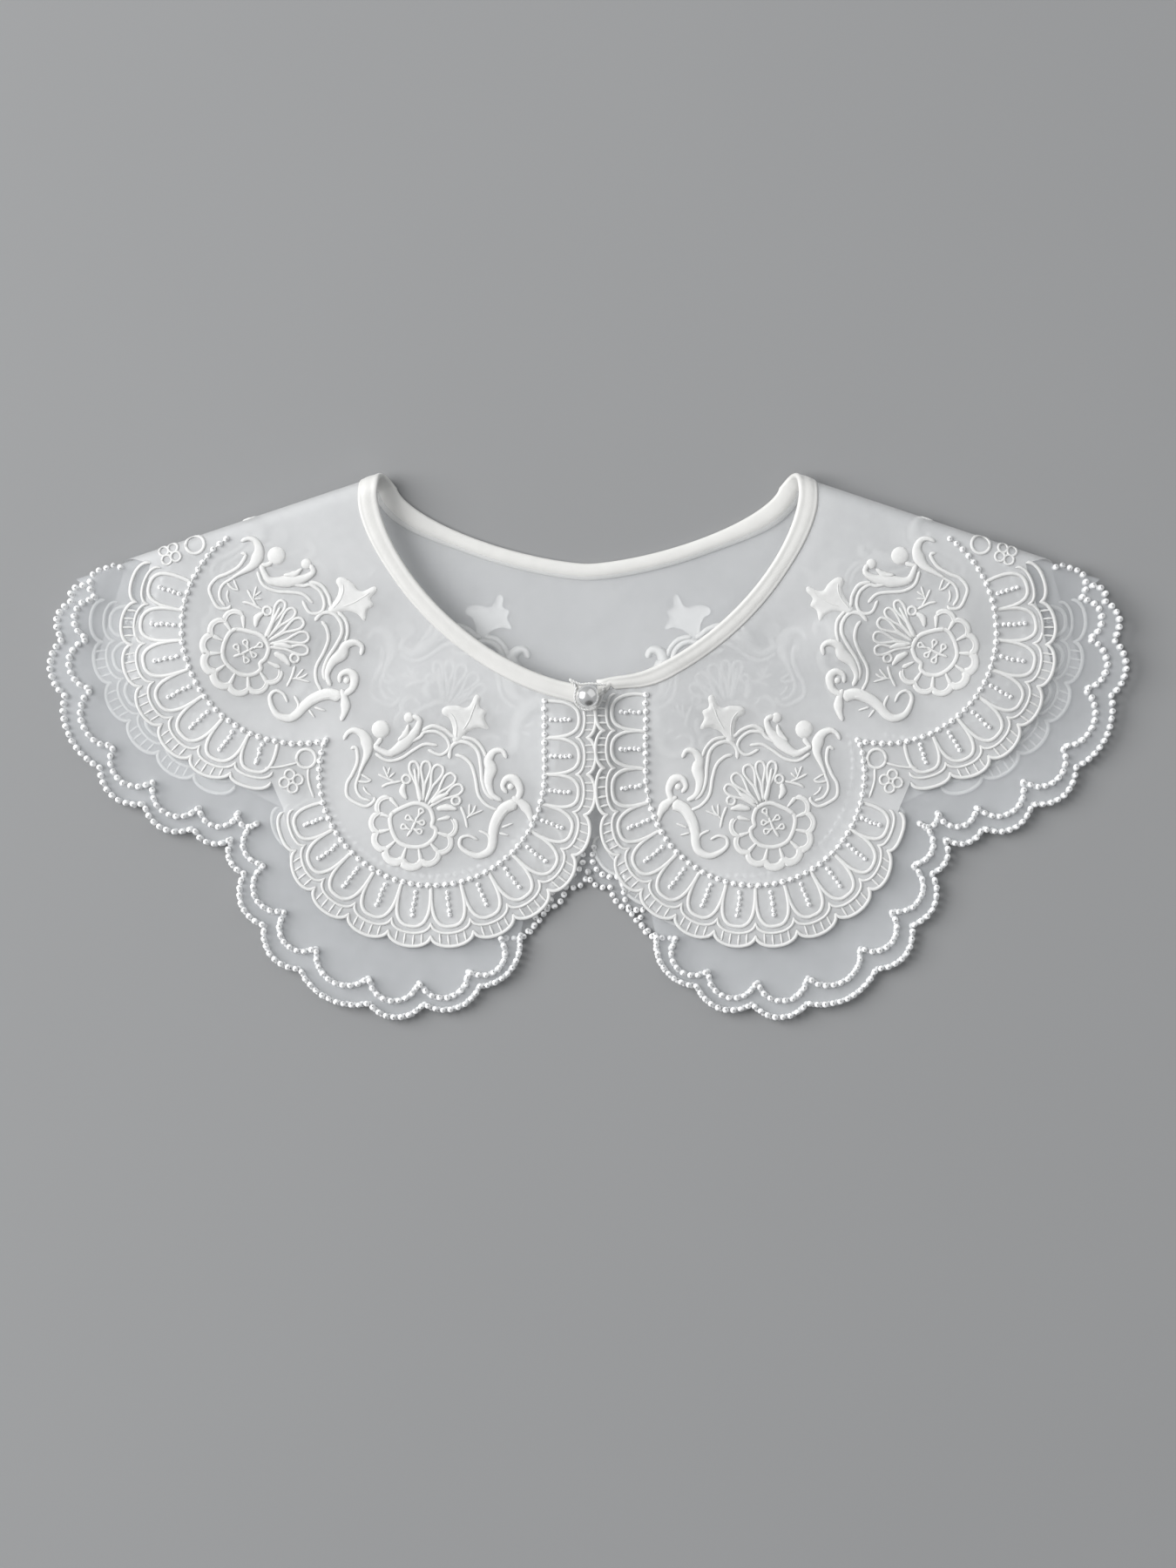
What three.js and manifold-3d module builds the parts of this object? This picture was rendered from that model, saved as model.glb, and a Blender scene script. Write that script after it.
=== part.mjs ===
// A detachable cape collar of two organza layers with a bound neckline, lying folded at both shoulders.
// Millimetres. +X runs across the shoulders, +Y points to the nape and +Z up from the surface it lies on.
// While it is drawn, Y is 0 at the neck corners, where the shoulder folds start.
import * as THREE from 'three';
import Module from 'manifold-3d';
import { mergeVertices } from 'three/addons/utils/BufferGeometryUtils.js';

const wasm = await Module();
wasm.setup();

// Neckline: half its width, and how far its front and back hang below the neck corners
const NECK_HALF_WIDTH = 76;
const FRONT_NECK_DROP = 69.5;
const FRONT_NECK_POWER = 1.62;
const BACK_NECK_DROP = 27.4;
const BACK_NECK_POWER = 1.5;
const NECK_TURN = 7;

// Shoulder folds
const SHOULDER_SLOPE = THREE.MathUtils.degToRad(17.4);
const FOLD_STEPS = 6;

// Lower layer: its widest and lowest hem points, measured from the middle and from the neck corners
const LOWER_HALF_WIDTH = 190.2;
const LOWER_DROP = 185;
const LOWER_SAG = 4.2;

// Upper layer: the same in front, and its wider back
const UPPER_HALF_WIDTH = 169.6;
const UPPER_DROP = 163.4;
const UPPER_BACK_HALF_WIDTH = 180.5;
const UPPER_BACK_DROP = 161;
const ARCH_PITCH = 16.5;
const ARCH_SAG = 2.4;

// Cloth, the gaps between pieces and the room that the folded layers enclose
const CLOTH = 1;
const LAYER_GAP = 0.5;
const SEAM_GAP = 0.3;
const HEM_HOLLOW = 0.5;
const NECK_HOLLOW = 6.5;
const CORNER_HOLLOW = 9;
const TIP_HOLLOW = 5;
const FOLD_BLEND = 80;
const LOFT_REACH = 1.35;

// Centre front: half the gap between the two fronts, and where each end of the neck binding stops
const FRONT_GAP = 0.6;
const LOWER_FRONT_INSET = 6;
const LEFT_BINDING_END = 1;
const RIGHT_BINDING_END = 3.2;

// Neck binding, pearl button and its loop
const BINDING_WIDTH = 6.3;
const BINDING_THICKNESS = 2;
const BINDING_ROLL = 0.7;
const BINDING_STEPS = 18;
const PEARL_RADIUS = 4.2;
const PEARL_HEIGHT = 6.6;
const SHANK_RADIUS = 1.2;
const SHANK_HEIGHT = 1.6;
const LOOP_CORD = 1;
const LOOP_CLEARANCE = 0.15;
const LOOP_ROOT = 2.4;

const STACK = 2 * CLOTH + LAYER_GAP;
const LOWER_SPAN = [0, CLOTH];
const UPPER_SPAN = [CLOTH + LAYER_GAP, STACK];
const ALONG_FOLD = new THREE.Vector2(Math.cos(SHOULDER_SLOPE), -Math.sin(SHOULDER_SLOPE));
const OUT_OF_FOLD = new THREE.Vector2(Math.sin(SHOULDER_SLOPE), Math.cos(SHOULDER_SLOPE));
const NECK_CORNER = new THREE.Vector2(NECK_HALF_WIDTH, 0);
const LAYER_ROWS = [0, 0.25, 0.5, 0.75, 1];
const SCALLOP_SHARES = [1 / 3, 2 / 3];
const NECK_STEPS = 120;
const PEARL_SIDES = 20;
const PEARL_RINGS = 12;
const SHANK_SIDES = 12;
const LOOP_POINTS = 10;
const LOOP_STEPS = 32;

// Cusps of the lower hem from centre front to the fold, as shares of LOWER_HALF_WIDTH and LOWER_DROP
const LOWER_FRONT_CUSPS = [
  { across: 0.13, down: 0.87 },
  { across: 0.207, down: 0.965 },
  { across: 0.313, down: 1 },
  { across: 0.418, down: 0.998 },
  { across: 0.549, down: 0.931 },
  { across: 0.617, down: 0.846 },
  { across: 0.655, down: 0.744 },
  { across: 0.678, down: 0.675 },
  { across: 0.752, down: 0.655 },
  { across: 0.846, down: 0.608 },
  { across: 0.93, down: 0.536 },
  { across: 0.996, down: 0.395 },
  { across: 1, down: 0.285 },
];
// The back hem has the same lobes and meets in a notch at the middle
const LOWER_BACK_NOTCH = [
  { across: 0, down: 0.741 },
  { across: 0.042, down: 0.77 },
  { across: 0.105, down: 0.813 },
];
const FOLD_TIP_ACROSS = 0.976;

// Lobes of the upper hem: a low one (across, down) and a side one (side, sideDown) on each half panel.
// The low circle just reaches the panel's drop and the side one its half width, in shares of the two.
// Towards the middle, the front's low circle is narrowed by the share inner.
const UPPER_LOBES = {
  front: { across: 0.345, down: 0.618, side: 0.626, sideDown: 0.304, inner: 0.91 },
  back: { across: 0.31, down: 0.612, side: 0.654, sideDown: 0.301, inner: 1 },
};

function onFold(along, out = 0) {
  return NECK_CORNER.clone().addScaledVector(ALONG_FOLD, along).addScaledVector(OUT_OF_FOLD, out);
}

function foldPlace(point) {
  const fromCorner = point.clone().sub(NECK_CORNER);
  return { along: fromCorner.dot(ALONG_FOLD), inside: -fromCorner.dot(OUT_OF_FOLD) };
}

const SHOULDER_LENGTH = (FOLD_TIP_ACROSS * LOWER_HALF_WIDTH - NECK_HALF_WIDTH) / ALONG_FOLD.x;

// The room between the front and back panels, a straight taper along the fold and a soft dome off it
function foldHollow(along) {
  return THREE.MathUtils.lerp(CORNER_HOLLOW, TIP_HOLLOW, along / SHOULDER_LENGTH);
}

function hollow(point) {
  const across = Math.abs(point.x) / NECK_HALF_WIDTH;
  const down = Math.max(0, -point.y) / FRONT_NECK_DROP;
  const ring = (across ** FRONT_NECK_POWER + down ** FRONT_NECK_POWER) ** (1 / FRONT_NECK_POWER);
  const away = THREE.MathUtils.clamp((ring - 1) / LOFT_REACH, 0, 1);
  const open = HEM_HOLLOW + (NECK_HOLLOW - HEM_HOLLOW) * (1 - away) ** 2;
  const { along, inside } = foldPlace(new THREE.Vector2(Math.abs(point.x), point.y));
  const folded = 1 - THREE.MathUtils.smoothstep(inside, 0, FOLD_BLEND);
  return THREE.MathUtils.lerp(open, foldHollow(along), folded);
}

// Places in space: level counts outwards through the cloth, from the face that the neck touches
function onFront(point, level) {
  return new THREE.Vector3(point.x, point.y, STACK + hollow(point) + level);
}

function onBack(point, level, drop = 0) {
  return new THREE.Vector3(point.x, point.y, STACK - level - drop);
}

function roundFold(along, turn, level) {
  const half = foldHollow(along) / 2;
  const radius = half + level;
  const plan = onFold(along, radius * Math.sin(turn));
  return new THREE.Vector3(plan.x, plan.y, STACK + half + radius * Math.cos(turn));
}

// A quarter of a superellipse from the middle of the neckline out to the fold
function neckQuarter(halfWidth, drop, power, cornerY, steps) {
  const points = [];
  for (let step = 0; step <= steps; step += 1) {
    const angle = (step / steps) * (Math.PI / 2);
    const across = halfWidth * Math.sin(angle) ** (2 / power);
    const down = drop * Math.cos(angle) ** (2 / power);
    points.push(new THREE.Vector2(across, cornerY - down));
  }
  return points;
}

const BACK_CORNER = onFold(-NECK_TURN);
const FRONT_NECK = neckQuarter(NECK_HALF_WIDTH, FRONT_NECK_DROP, FRONT_NECK_POWER, 0, NECK_STEPS);
const BACK_NECK = neckQuarter(BACK_CORNER.x, BACK_NECK_DROP, BACK_NECK_POWER, BACK_CORNER.y, NECK_STEPS);

function lengths(points) {
  const sums = [0];
  for (let index = 1; index < points.length; index += 1) {
    sums.push(sums[index - 1] + points[index].distanceTo(points[index - 1]));
  }
  return sums;
}

// The point at a share of a line's length, moved sideways away from the neck
function alongLine(points, share, aside = 0) {
  const sums = lengths(points);
  const target = share * sums[sums.length - 1];
  let index = 1;
  while (index < points.length - 1 && sums[index] < target) {
    index += 1;
  }
  const before = points[index - 1];
  const after = points[index];
  const part = (target - sums[index - 1]) / (sums[index] - sums[index - 1]);
  const direction = after.clone().sub(before).normalize();
  const outward = new THREE.Vector2(direction.y, -direction.x);
  return before.clone().lerp(after, part).addScaledVector(outward, aside);
}

// Rounds each stretch between two cusps outwards
function scallop(cusps, sag) {
  const points = [cusps[0]];
  for (let index = 1; index < cusps.length; index += 1) {
    const chord = cusps[index].clone().sub(cusps[index - 1]);
    const outward = new THREE.Vector2(chord.y, -chord.x).normalize();
    for (const share of SCALLOP_SHARES) {
      points.push(cusps[index - 1].clone().lerp(cusps[index], share).addScaledVector(outward, sag));
    }
    points.push(cusps[index]);
  }
  return points;
}

function lowerHem(cusps) {
  const points = cusps.map(
    (cusp) => new THREE.Vector2(cusp.across * LOWER_HALF_WIDTH, -cusp.down * LOWER_DROP),
  );
  points.push(onFold(SHOULDER_LENGTH));
  return scallop(points, LOWER_SAG);
}

// Where a lobe's circle meets the fold, as a distance along the fold
function lobeAtFold(lobe) {
  const { along, inside } = foldPlace(lobe.centre);
  return along + Math.sqrt(lobe.radius ** 2 - inside ** 2);
}

function lobePoint(lobe, angle) {
  const inner = Math.cos(angle) < 0 ? lobe.inner : 1;
  return new THREE.Vector2(
    lobe.centre.x + inner * lobe.radius * Math.cos(angle),
    lobe.centre.y + lobe.radius * Math.sin(angle),
  );
}

function upperLobes(panel) {
  const share = UPPER_LOBES[panel];
  const halfWidth = panel === 'front' ? UPPER_HALF_WIDTH : UPPER_BACK_HALF_WIDTH;
  const drop = panel === 'front' ? UPPER_DROP : UPPER_BACK_DROP;
  return [
    {
      centre: new THREE.Vector2(share.across * halfWidth, -share.down * drop),
      radius: (1 - share.down) * drop,
      inner: share.inner,
    },
    {
      centre: new THREE.Vector2(share.side * halfWidth, -share.sideDown * drop),
      radius: (1 - share.side) * halfWidth,
      inner: 1,
    },
  ];
}

// The angle on the first circle where the second circle crosses it, on the side away from the neck
function crossing(first, second) {
  const between = second.centre.clone().sub(first.centre);
  const apart = between.length();
  const reach = (apart ** 2 + first.radius ** 2 - second.radius ** 2) / (2 * apart);
  return between.angle() - Math.acos(reach / first.radius);
}

function arches(lobe, from, to) {
  const count = Math.max(2, Math.round((Math.abs(to - from) * lobe.radius) / ARCH_PITCH));
  const points = [];
  for (let index = 0; index <= count; index += 1) {
    points.push(lobePoint(lobe, THREE.MathUtils.lerp(from, to, index / count)));
  }
  return points;
}

function upperHem(panel) {
  const [low, side] = upperLobes(panel);
  const middle = panel === 'front' ? FRONT_GAP : 0;
  const start = -Math.PI + Math.acos(Math.min(1, (low.centre.x - middle) / (low.inner * low.radius)));
  const meet = crossing(low, side);
  const meetPoint = lobePoint(low, meet);
  const sideStart = meetPoint.clone().sub(side.centre).angle() - 2 * Math.PI;
  const foldEnd = onFold(lobeAtFold(side));
  const sideEnd = foldEnd.clone().sub(side.centre).angle();
  const cusps = [...arches(low, start, meet), ...arches(side, sideStart, sideEnd).slice(1)];
  cusps[cusps.length - 1] = foldEnd;
  return scallop(cusps, ARCH_SAG);
}

// How far a place on the back lies outside the upper layer there
function pastUpperBack(point) {
  const outside = upperLobes('back').map((lobe) => point.distanceTo(lobe.centre) - lobe.radius);
  return Math.min(...outside);
}

// A layer's column is a row of places from the binding to the hem
function panelColumn(neckLine, hem, hemIndex, neckStart, place) {
  const hemLengths = lengths(hem);
  const share = hemLengths[hemIndex] / hemLengths[hemLengths.length - 1];
  const neckShare = THREE.MathUtils.lerp(neckStart, 1, share);
  const top = alongLine(neckLine, neckShare, BINDING_WIDTH + SEAM_GAP);
  return place(top, hem[hemIndex]);
}

function frontColumn(span) {
  return (top, bottom) => LAYER_ROWS.map((row) => {
    const point = top.clone().lerp(bottom, row);
    return span.map((level) => onFront(point, level));
  });
}

function upperBackColumn(top, bottom) {
  return LAYER_ROWS.map((row) => {
    const point = top.clone().lerp(bottom, row);
    return UPPER_SPAN.map((level) => onBack(point, level));
  });
}

// Past the edge of the upper layer, the back of the lower layer comes down to the surface.
// The drop fades out towards the fold and where little of the lower layer shows past that edge.
const DROP_START = ARCH_SAG + 2;
const DROP_FADE = 30;
const DROP_SHARE = { least: 0.06, full: 0.14 };
const SEARCH_STEP = 0.01;
function lowerBackColumn(top, bottom) {
  let edge = 1;
  while (pastUpperBack(top.clone().lerp(bottom, edge - SEARCH_STEP)) > DROP_START) {
    edge -= SEARCH_STEP;
  }
  const nearFold = THREE.MathUtils.smoothstep(foldPlace(bottom).inside, 0, DROP_FADE);
  const narrow = THREE.MathUtils.smoothstep(1 - edge, DROP_SHARE.least, DROP_SHARE.full);
  const drop = (CLOTH + LAYER_GAP) * nearFold * narrow;
  const flat = Math.min(edge, 1 - DROP_SHARE.least);
  const inner = LAYER_ROWS.slice(0, -1);
  const rows = [...inner.map((row) => (row / inner.at(-1)) * flat), 1];
  return rows.map((row) => {
    const point = top.clone().lerp(bottom, row);
    return LOWER_SPAN.map((level) => onBack(point, level, row === 1 ? drop : 0));
  });
}

function foldColumns(span, frontEnd, backEnd, sag) {
  const columns = [];
  for (let step = 1; step < FOLD_STEPS; step += 1) {
    const share = step / FOLD_STEPS;
    const turn = share * Math.PI;
    const top = BINDING_WIDTH + SEAM_GAP - share * NECK_TURN;
    const bottom = THREE.MathUtils.lerp(frontEnd, backEnd, share) + sag * Math.sin(turn);
    columns.push(LAYER_ROWS.map((row) => {
      const along = THREE.MathUtils.lerp(top, bottom, row);
      return span.map((level) => roundFold(along, turn, level));
    }));
  }
  return columns;
}

function mirrored(column) {
  return column.map((row) => row.map((place) => new THREE.Vector3(-place.x, place.y, place.z)));
}

// One half from centre front over the fold to the middle of the back, then its mirror image
function wholeStrip(half) {
  return [...half, ...half.slice(0, -1).reverse().map(mirrored)];
}

// A closed skin over a row of loops of equal length, with both ends closed
function skin(loops) {
  const size = loops[0].length;
  const positions = loops.flat().flatMap((place) => place.toArray());
  const faces = [];
  for (let ring = 0; ring < loops.length - 1; ring += 1) {
    for (let corner = 0; corner < size; corner += 1) {
      const next = (corner + 1) % size;
      const a = ring * size + corner;
      const b = ring * size + next;
      faces.push(a, b, a + size, b, b + size, a + size);
    }
  }
  const last = (loops.length - 1) * size;
  for (let corner = 0; corner < size / 2 - 1; corner += 1) {
    const across = size - 1 - corner;
    faces.push(corner, across, corner + 1, across, across - 1, corner + 1);
    faces.push(last + corner, last + corner + 1, last + across);
    faces.push(last + across, last + corner + 1, last + across - 1);
  }
  const geometry = new THREE.BufferGeometry();
  geometry.setAttribute('position', new THREE.Float32BufferAttribute(positions, 3));
  geometry.setIndex(signedVolume(positions, faces) < 0 ? faces.reverse() : faces);
  return geometry;
}

function signedVolume(positions, faces) {
  const corner = (index) => new THREE.Vector3().fromArray(positions, 3 * index);
  let volume = 0;
  for (let face = 0; face < faces.length; face += 3) {
    volume += corner(faces[face]).dot(corner(faces[face + 1]).cross(corner(faces[face + 2]))) / 6;
  }
  return volume;
}

// A column's loop runs down its inner face and back up its outer face
function layerLoop(column) {
  return [...column.map((row) => row[0]), ...column.map((row) => row[1]).reverse()];
}

function upperLayer() {
  const front = upperHem('front');
  const back = upperHem('back');
  const start = RIGHT_BINDING_END / lengths(FRONT_NECK).at(-1);
  const frontColumns = front.map((_, index) => (
    panelColumn(FRONT_NECK, front, index, start, frontColumn(UPPER_SPAN))
  ));
  const backColumns = back.map((_, index) => panelColumn(BACK_NECK, back, index, 0, upperBackColumn));
  const ends = ['front', 'back'].map((panel) => lobeAtFold(upperLobes(panel)[1]));
  const fold = foldColumns(UPPER_SPAN, ends[0], ends[1], ARCH_SAG);
  return skin(wholeStrip([...frontColumns, ...fold, ...backColumns.reverse()]).map(layerLoop));
}

function lowerLayer() {
  const front = lowerHem(LOWER_FRONT_CUSPS);
  const back = lowerHem([...LOWER_BACK_NOTCH, ...LOWER_FRONT_CUSPS]);
  const start = LOWER_FRONT_INSET / lengths(FRONT_NECK).at(-1);
  const frontColumns = front.map((_, index) => (
    panelColumn(FRONT_NECK, front, index, start, frontColumn(LOWER_SPAN))
  ));
  const backColumns = back.map((_, index) => panelColumn(BACK_NECK, back, index, 0, lowerBackColumn));
  const fold = foldColumns(LOWER_SPAN, SHOULDER_LENGTH, SHOULDER_LENGTH, LOWER_SAG);
  return skin(wholeStrip([...frontColumns, ...fold, ...backColumns.reverse()]).map(layerLoop));
}

// The binding's section: how far from the neck edge and at which level, rolled at the neck edge
const BINDING_LOW = (STACK - BINDING_THICKNESS) / 2;
const BINDING_SECTION = [
  [0, BINDING_LOW + BINDING_ROLL],
  [BINDING_ROLL, BINDING_LOW],
  [BINDING_WIDTH, BINDING_LOW],
  [BINDING_WIDTH, BINDING_LOW + BINDING_THICKNESS],
  [BINDING_ROLL, BINDING_LOW + BINDING_THICKNESS],
  [0, BINDING_LOW + BINDING_THICKNESS - BINDING_ROLL],
];

function bindingHalf(frontStart) {
  const start = frontStart / lengths(FRONT_NECK).at(-1);
  const loops = [];
  for (let step = 0; step <= BINDING_STEPS; step += 1) {
    const share = THREE.MathUtils.lerp(start, 1, step / BINDING_STEPS);
    loops.push(BINDING_SECTION.map(([aside, level]) => onFront(alongLine(FRONT_NECK, share, aside), level)));
  }
  for (let step = 1; step < FOLD_STEPS; step += 1) {
    const share = step / FOLD_STEPS;
    loops.push(BINDING_SECTION.map(
      ([aside, level]) => roundFold(aside - share * NECK_TURN, share * Math.PI, level),
    ));
  }
  for (let step = BINDING_STEPS; step >= 0; step -= 1) {
    const share = step / BINDING_STEPS;
    loops.push(BINDING_SECTION.map(([aside, level]) => onBack(alongLine(BACK_NECK, share, aside), level)));
  }
  return loops;
}

function neckBinding() {
  const right = bindingHalf(RIGHT_BINDING_END);
  const left = bindingHalf(-LEFT_BINDING_END);
  const flipped = left.slice(0, -1).reverse().map(
    (loop) => loop.map((place) => new THREE.Vector3(-place.x, place.y, place.z)),
  );
  return skin([...right, ...flipped]);
}

// The button sits on the end of the left half of the binding
const BUTTON_PLACE = new THREE.Vector2(LEFT_BINDING_END - SHANK_RADIUS, -FRONT_NECK_DROP - BINDING_WIDTH / 2);
const BINDING_TOP = STACK + hollow(BUTTON_PLACE) + BINDING_LOW + BINDING_THICKNESS;

function asManifold(geometry) {
  const bare = geometry.clone();
  bare.deleteAttribute('normal');
  bare.deleteAttribute('uv');
  const merged = mergeVertices(bare);
  return new wasm.Manifold(new wasm.Mesh({
    numProp: 3,
    vertProperties: new Float32Array(merged.attributes.position.array),
    triVerts: new Uint32Array(merged.index.array),
  }));
}

function asGeometry(manifold) {
  const mesh = manifold.getMesh();
  const geometry = new THREE.BufferGeometry();
  geometry.setAttribute('position', new THREE.BufferAttribute(mesh.vertProperties, 3));
  geometry.setIndex(new THREE.BufferAttribute(mesh.triVerts, 1));
  return geometry;
}

function pearlButton() {
  const pearl = new THREE.SphereGeometry(PEARL_RADIUS, PEARL_SIDES, PEARL_RINGS);
  pearl.rotateX(Math.PI / 2);
  pearl.scale(1, 1, PEARL_HEIGHT / (2 * PEARL_RADIUS));
  const base = BINDING_TOP + SEAM_GAP;
  pearl.translate(BUTTON_PLACE.x, BUTTON_PLACE.y, base + SHANK_HEIGHT + PEARL_HEIGHT / 2);
  const sunk = PEARL_HEIGHT / 4;
  const shank = new THREE.CylinderGeometry(SHANK_RADIUS, SHANK_RADIUS, SHANK_HEIGHT + sunk, SHANK_SIDES);
  shank.rotateX(Math.PI / 2);
  shank.translate(BUTTON_PLACE.x, BUTTON_PLACE.y, base + (SHANK_HEIGHT + sunk) / 2);
  return asGeometry(asManifold(pearl).add(asManifold(shank)));
}

// The loop leaves the right binding end, passes round the shank under the pearl and comes back.
// LOOP_OPEN is the angle where each leg leaves the round part, and LOOP_PINCH how near the legs end.
const LOOP_OPEN = THREE.MathUtils.degToRad(42);
const LOOP_PINCH = 0.3;
function buttonLoop() {
  const radius = PEARL_RADIUS + LOOP_CORD / 2 + LOOP_CLEARANCE;
  const height = BINDING_TOP + SEAM_GAP + LOOP_CORD / 2;
  const rooted = RIGHT_BINDING_END + LOOP_ROOT - BUTTON_PLACE.x;
  const points = [];
  for (let index = 0; index <= LOOP_POINTS; index += 1) {
    const turn = THREE.MathUtils.lerp(LOOP_OPEN, 2 * Math.PI - LOOP_OPEN, index / LOOP_POINTS);
    points.push(new THREE.Vector3(radius * Math.cos(turn), radius * Math.sin(turn), 0));
  }
  points.unshift(new THREE.Vector3(rooted, radius * LOOP_PINCH, 0));
  points.push(new THREE.Vector3(rooted, -radius * LOOP_PINCH, 0));
  const section = new THREE.Shape();
  section.absarc(0, 0, LOOP_CORD / 2, 0, 2 * Math.PI);
  const cord = new THREE.ExtrudeGeometry(section, {
    steps: LOOP_STEPS,
    curveSegments: 4,
    extrudePath: new THREE.CatmullRomCurve3(points),
  });
  cord.translate(BUTTON_PLACE.x, BUTTON_PLACE.y, height);
  return cord;
}

const ORGANZA = { color: 0xd4d9dd, roughness: 0.8, metalness: 0 };
const SATIN = { color: 0xf0efea, roughness: 0.45, metalness: 0 };
const PEARL = { color: 0xdfe0dd, roughness: 0.12, metalness: 0.2 };

function piece(name, geometry, finish) {
  const mesh = new THREE.Mesh(geometry, new THREE.MeshStandardMaterial(finish));
  mesh.name = name;
  return mesh;
}

const collar = new THREE.Group();
collar.add(piece('upper_layer', upperLayer(), ORGANZA));
collar.add(piece('lower_layer', lowerLayer(), ORGANZA));
collar.add(piece('neck_binding', neckBinding(), SATIN));
collar.add(piece('pearl_button', pearlButton(), PEARL));
collar.add(piece('button_loop', buttonLoop(), SATIN));

// The finished collar has its origin on the surface, under the middle of its outline
const outline = new THREE.Box3().setFromObject(collar);
collar.position.y = -(outline.min.y + outline.max.y) / 2;

export default collar;
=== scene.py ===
"""Looks of a detachable cape collar: two sheer organza layers, embroidered and beaded, lying folded."""
import logging
import math
from dataclasses import dataclass
from enum import Enum
from typing import Iterable, NamedTuple, Sequence

import bmesh
import bpy
import numpy as np
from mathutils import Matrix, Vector
from mathutils.geometry import delaunay_2d_cdt


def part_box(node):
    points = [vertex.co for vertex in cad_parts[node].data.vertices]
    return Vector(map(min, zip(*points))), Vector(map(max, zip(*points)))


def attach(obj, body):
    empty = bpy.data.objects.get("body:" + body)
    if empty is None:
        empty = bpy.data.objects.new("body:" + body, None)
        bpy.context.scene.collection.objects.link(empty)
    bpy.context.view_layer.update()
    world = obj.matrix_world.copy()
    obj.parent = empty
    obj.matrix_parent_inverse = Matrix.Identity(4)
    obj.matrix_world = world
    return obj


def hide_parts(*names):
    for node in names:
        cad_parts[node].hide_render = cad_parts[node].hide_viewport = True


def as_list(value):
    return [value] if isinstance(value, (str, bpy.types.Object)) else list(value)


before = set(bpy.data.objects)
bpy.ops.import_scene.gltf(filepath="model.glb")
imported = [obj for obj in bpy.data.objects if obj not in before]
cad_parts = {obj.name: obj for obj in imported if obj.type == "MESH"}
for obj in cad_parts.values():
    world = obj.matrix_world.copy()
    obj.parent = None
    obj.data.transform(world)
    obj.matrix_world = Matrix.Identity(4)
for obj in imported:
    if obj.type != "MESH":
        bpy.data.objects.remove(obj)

log = logging.getLogger("collar")
MM = 0.001
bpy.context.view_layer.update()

Array = np.ndarray
Amount = np.ndarray | float
Pair = tuple[float, float]
Colour = tuple[float, float, float]
Place = tuple[float, float, float]
Material = bpy.types.Material
Piece = bpy.types.Object


class Panel(Enum):
    """The half of a folded layer: the one on top, or the one that lies on the surface."""

    FRONT = "front"
    BACK = "back"


class Side(Enum):
    """One half of the collar, as the sign of X."""

    LEFT_HALF = -1
    RIGHT_HALF = 1


# Plan geometry


def smooth(value: Amount, low: float, high: float) -> Array:
    """Rises softly from 0 at low to 1 at high."""
    t = np.clip((np.asarray(value, float) - low) / (high - low), 0, 1)
    return t * t * (3 - 2 * t)


def ray(angle: Amount) -> Array:
    """Directions at angles in radians."""
    return np.stack([np.cos(angle), np.sin(angle)], -1)


def circle(sides: int) -> Array:
    """Evenly spaced points on a unit circle."""
    return ray(np.linspace(0, 2 * math.pi, sides, endpoint=False))


def unit(vectors: Array) -> Array:
    """Vectors scaled to length 1."""
    return vectors / np.maximum(np.linalg.norm(vectors, axis=-1, keepdims=True), 1e-9)


def left_of(ways: Array) -> Array:
    """Plan directions turned a quarter turn to the left."""
    return np.stack([-ways[..., 1], ways[..., 0]], -1)


def reaches(points: Array) -> Array:
    """Distance run along a line to each of its points."""
    return np.concatenate([[0], np.cumsum(np.linalg.norm(np.diff(points, axis=0), axis=1))])


def points_at(reach: Array, sums: Array, points: Array) -> Array:
    """Points at distances run along a line, given the distance to each of its points."""
    return np.stack([np.interp(reach, sums, points[:, axis]) for axis in range(points.shape[1])], -1)


def spaced(points: Array, pitch: float, closed: bool = False) -> Array:
    """Places points evenly along a line.

    Args:
        points: the line's corners.
        pitch: the most that two points are apart.
        closed: whether the end joins the start.

    Returns:
        The even points, without the first one again at the end.
    """
    points = np.asarray(points, float)
    if closed:
        points = np.vstack([points, points[:1]])
    sums = reaches(points)
    count = max(2, int(math.ceil(sums[-1] / pitch)) + 1)
    even = points_at(np.linspace(0, sums[-1], count), sums, points)
    return even[:-1] if closed else even


def curved(points: Array, pitch: float, closed: bool = False) -> Array:
    """Draws a smooth curve through points.

    Args:
        points: places that the curve goes through.
        pitch: the most that two points of the curve are apart.
        closed: whether the end joins the start.

    Returns:
        Evenly spaced points on the curve.
    """
    points = np.asarray(points, float)
    if len(points) < 3:
        return spaced(points, pitch, closed)
    if closed:
        padded = np.vstack([points[-1:], points, points[:2]])
    else:
        padded = np.vstack([2 * points[0] - points[1], points, 2 * points[-1] - points[-2]])
    t = np.linspace(0, 1, 9)[:-1, None]
    runs = []
    for a, b, c, d in zip(padded, padded[1:], padded[2:], padded[3:]):
        runs.append(0.5 * (2 * b + (c - a) * t + (2 * a - 5 * b + 4 * c - d) * t**2 + (3 * b - a - 3 * c + d) * t**3))
    line = np.vstack(runs + ([] if closed else [points[-1:]]))
    return spaced(line, pitch, closed)


def edge_distance(points: Array, outline: Array) -> Array:
    """Measures how far points are from a closed outline.

    Args:
        points: plan points.
        outline: the outline's points, in order.

    Returns:
        Distances to the nearest edge.
    """
    nearest = np.full(len(points), np.inf)
    for a, b in zip(outline, np.roll(outline, -1, 0) - outline):
        share = np.clip(((points - a) @ b) / max(b @ b, 1e-12), 0, 1)
        nearest = np.minimum(nearest, np.linalg.norm(points - a - share[:, None] * b, axis=1))
    return nearest


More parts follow.
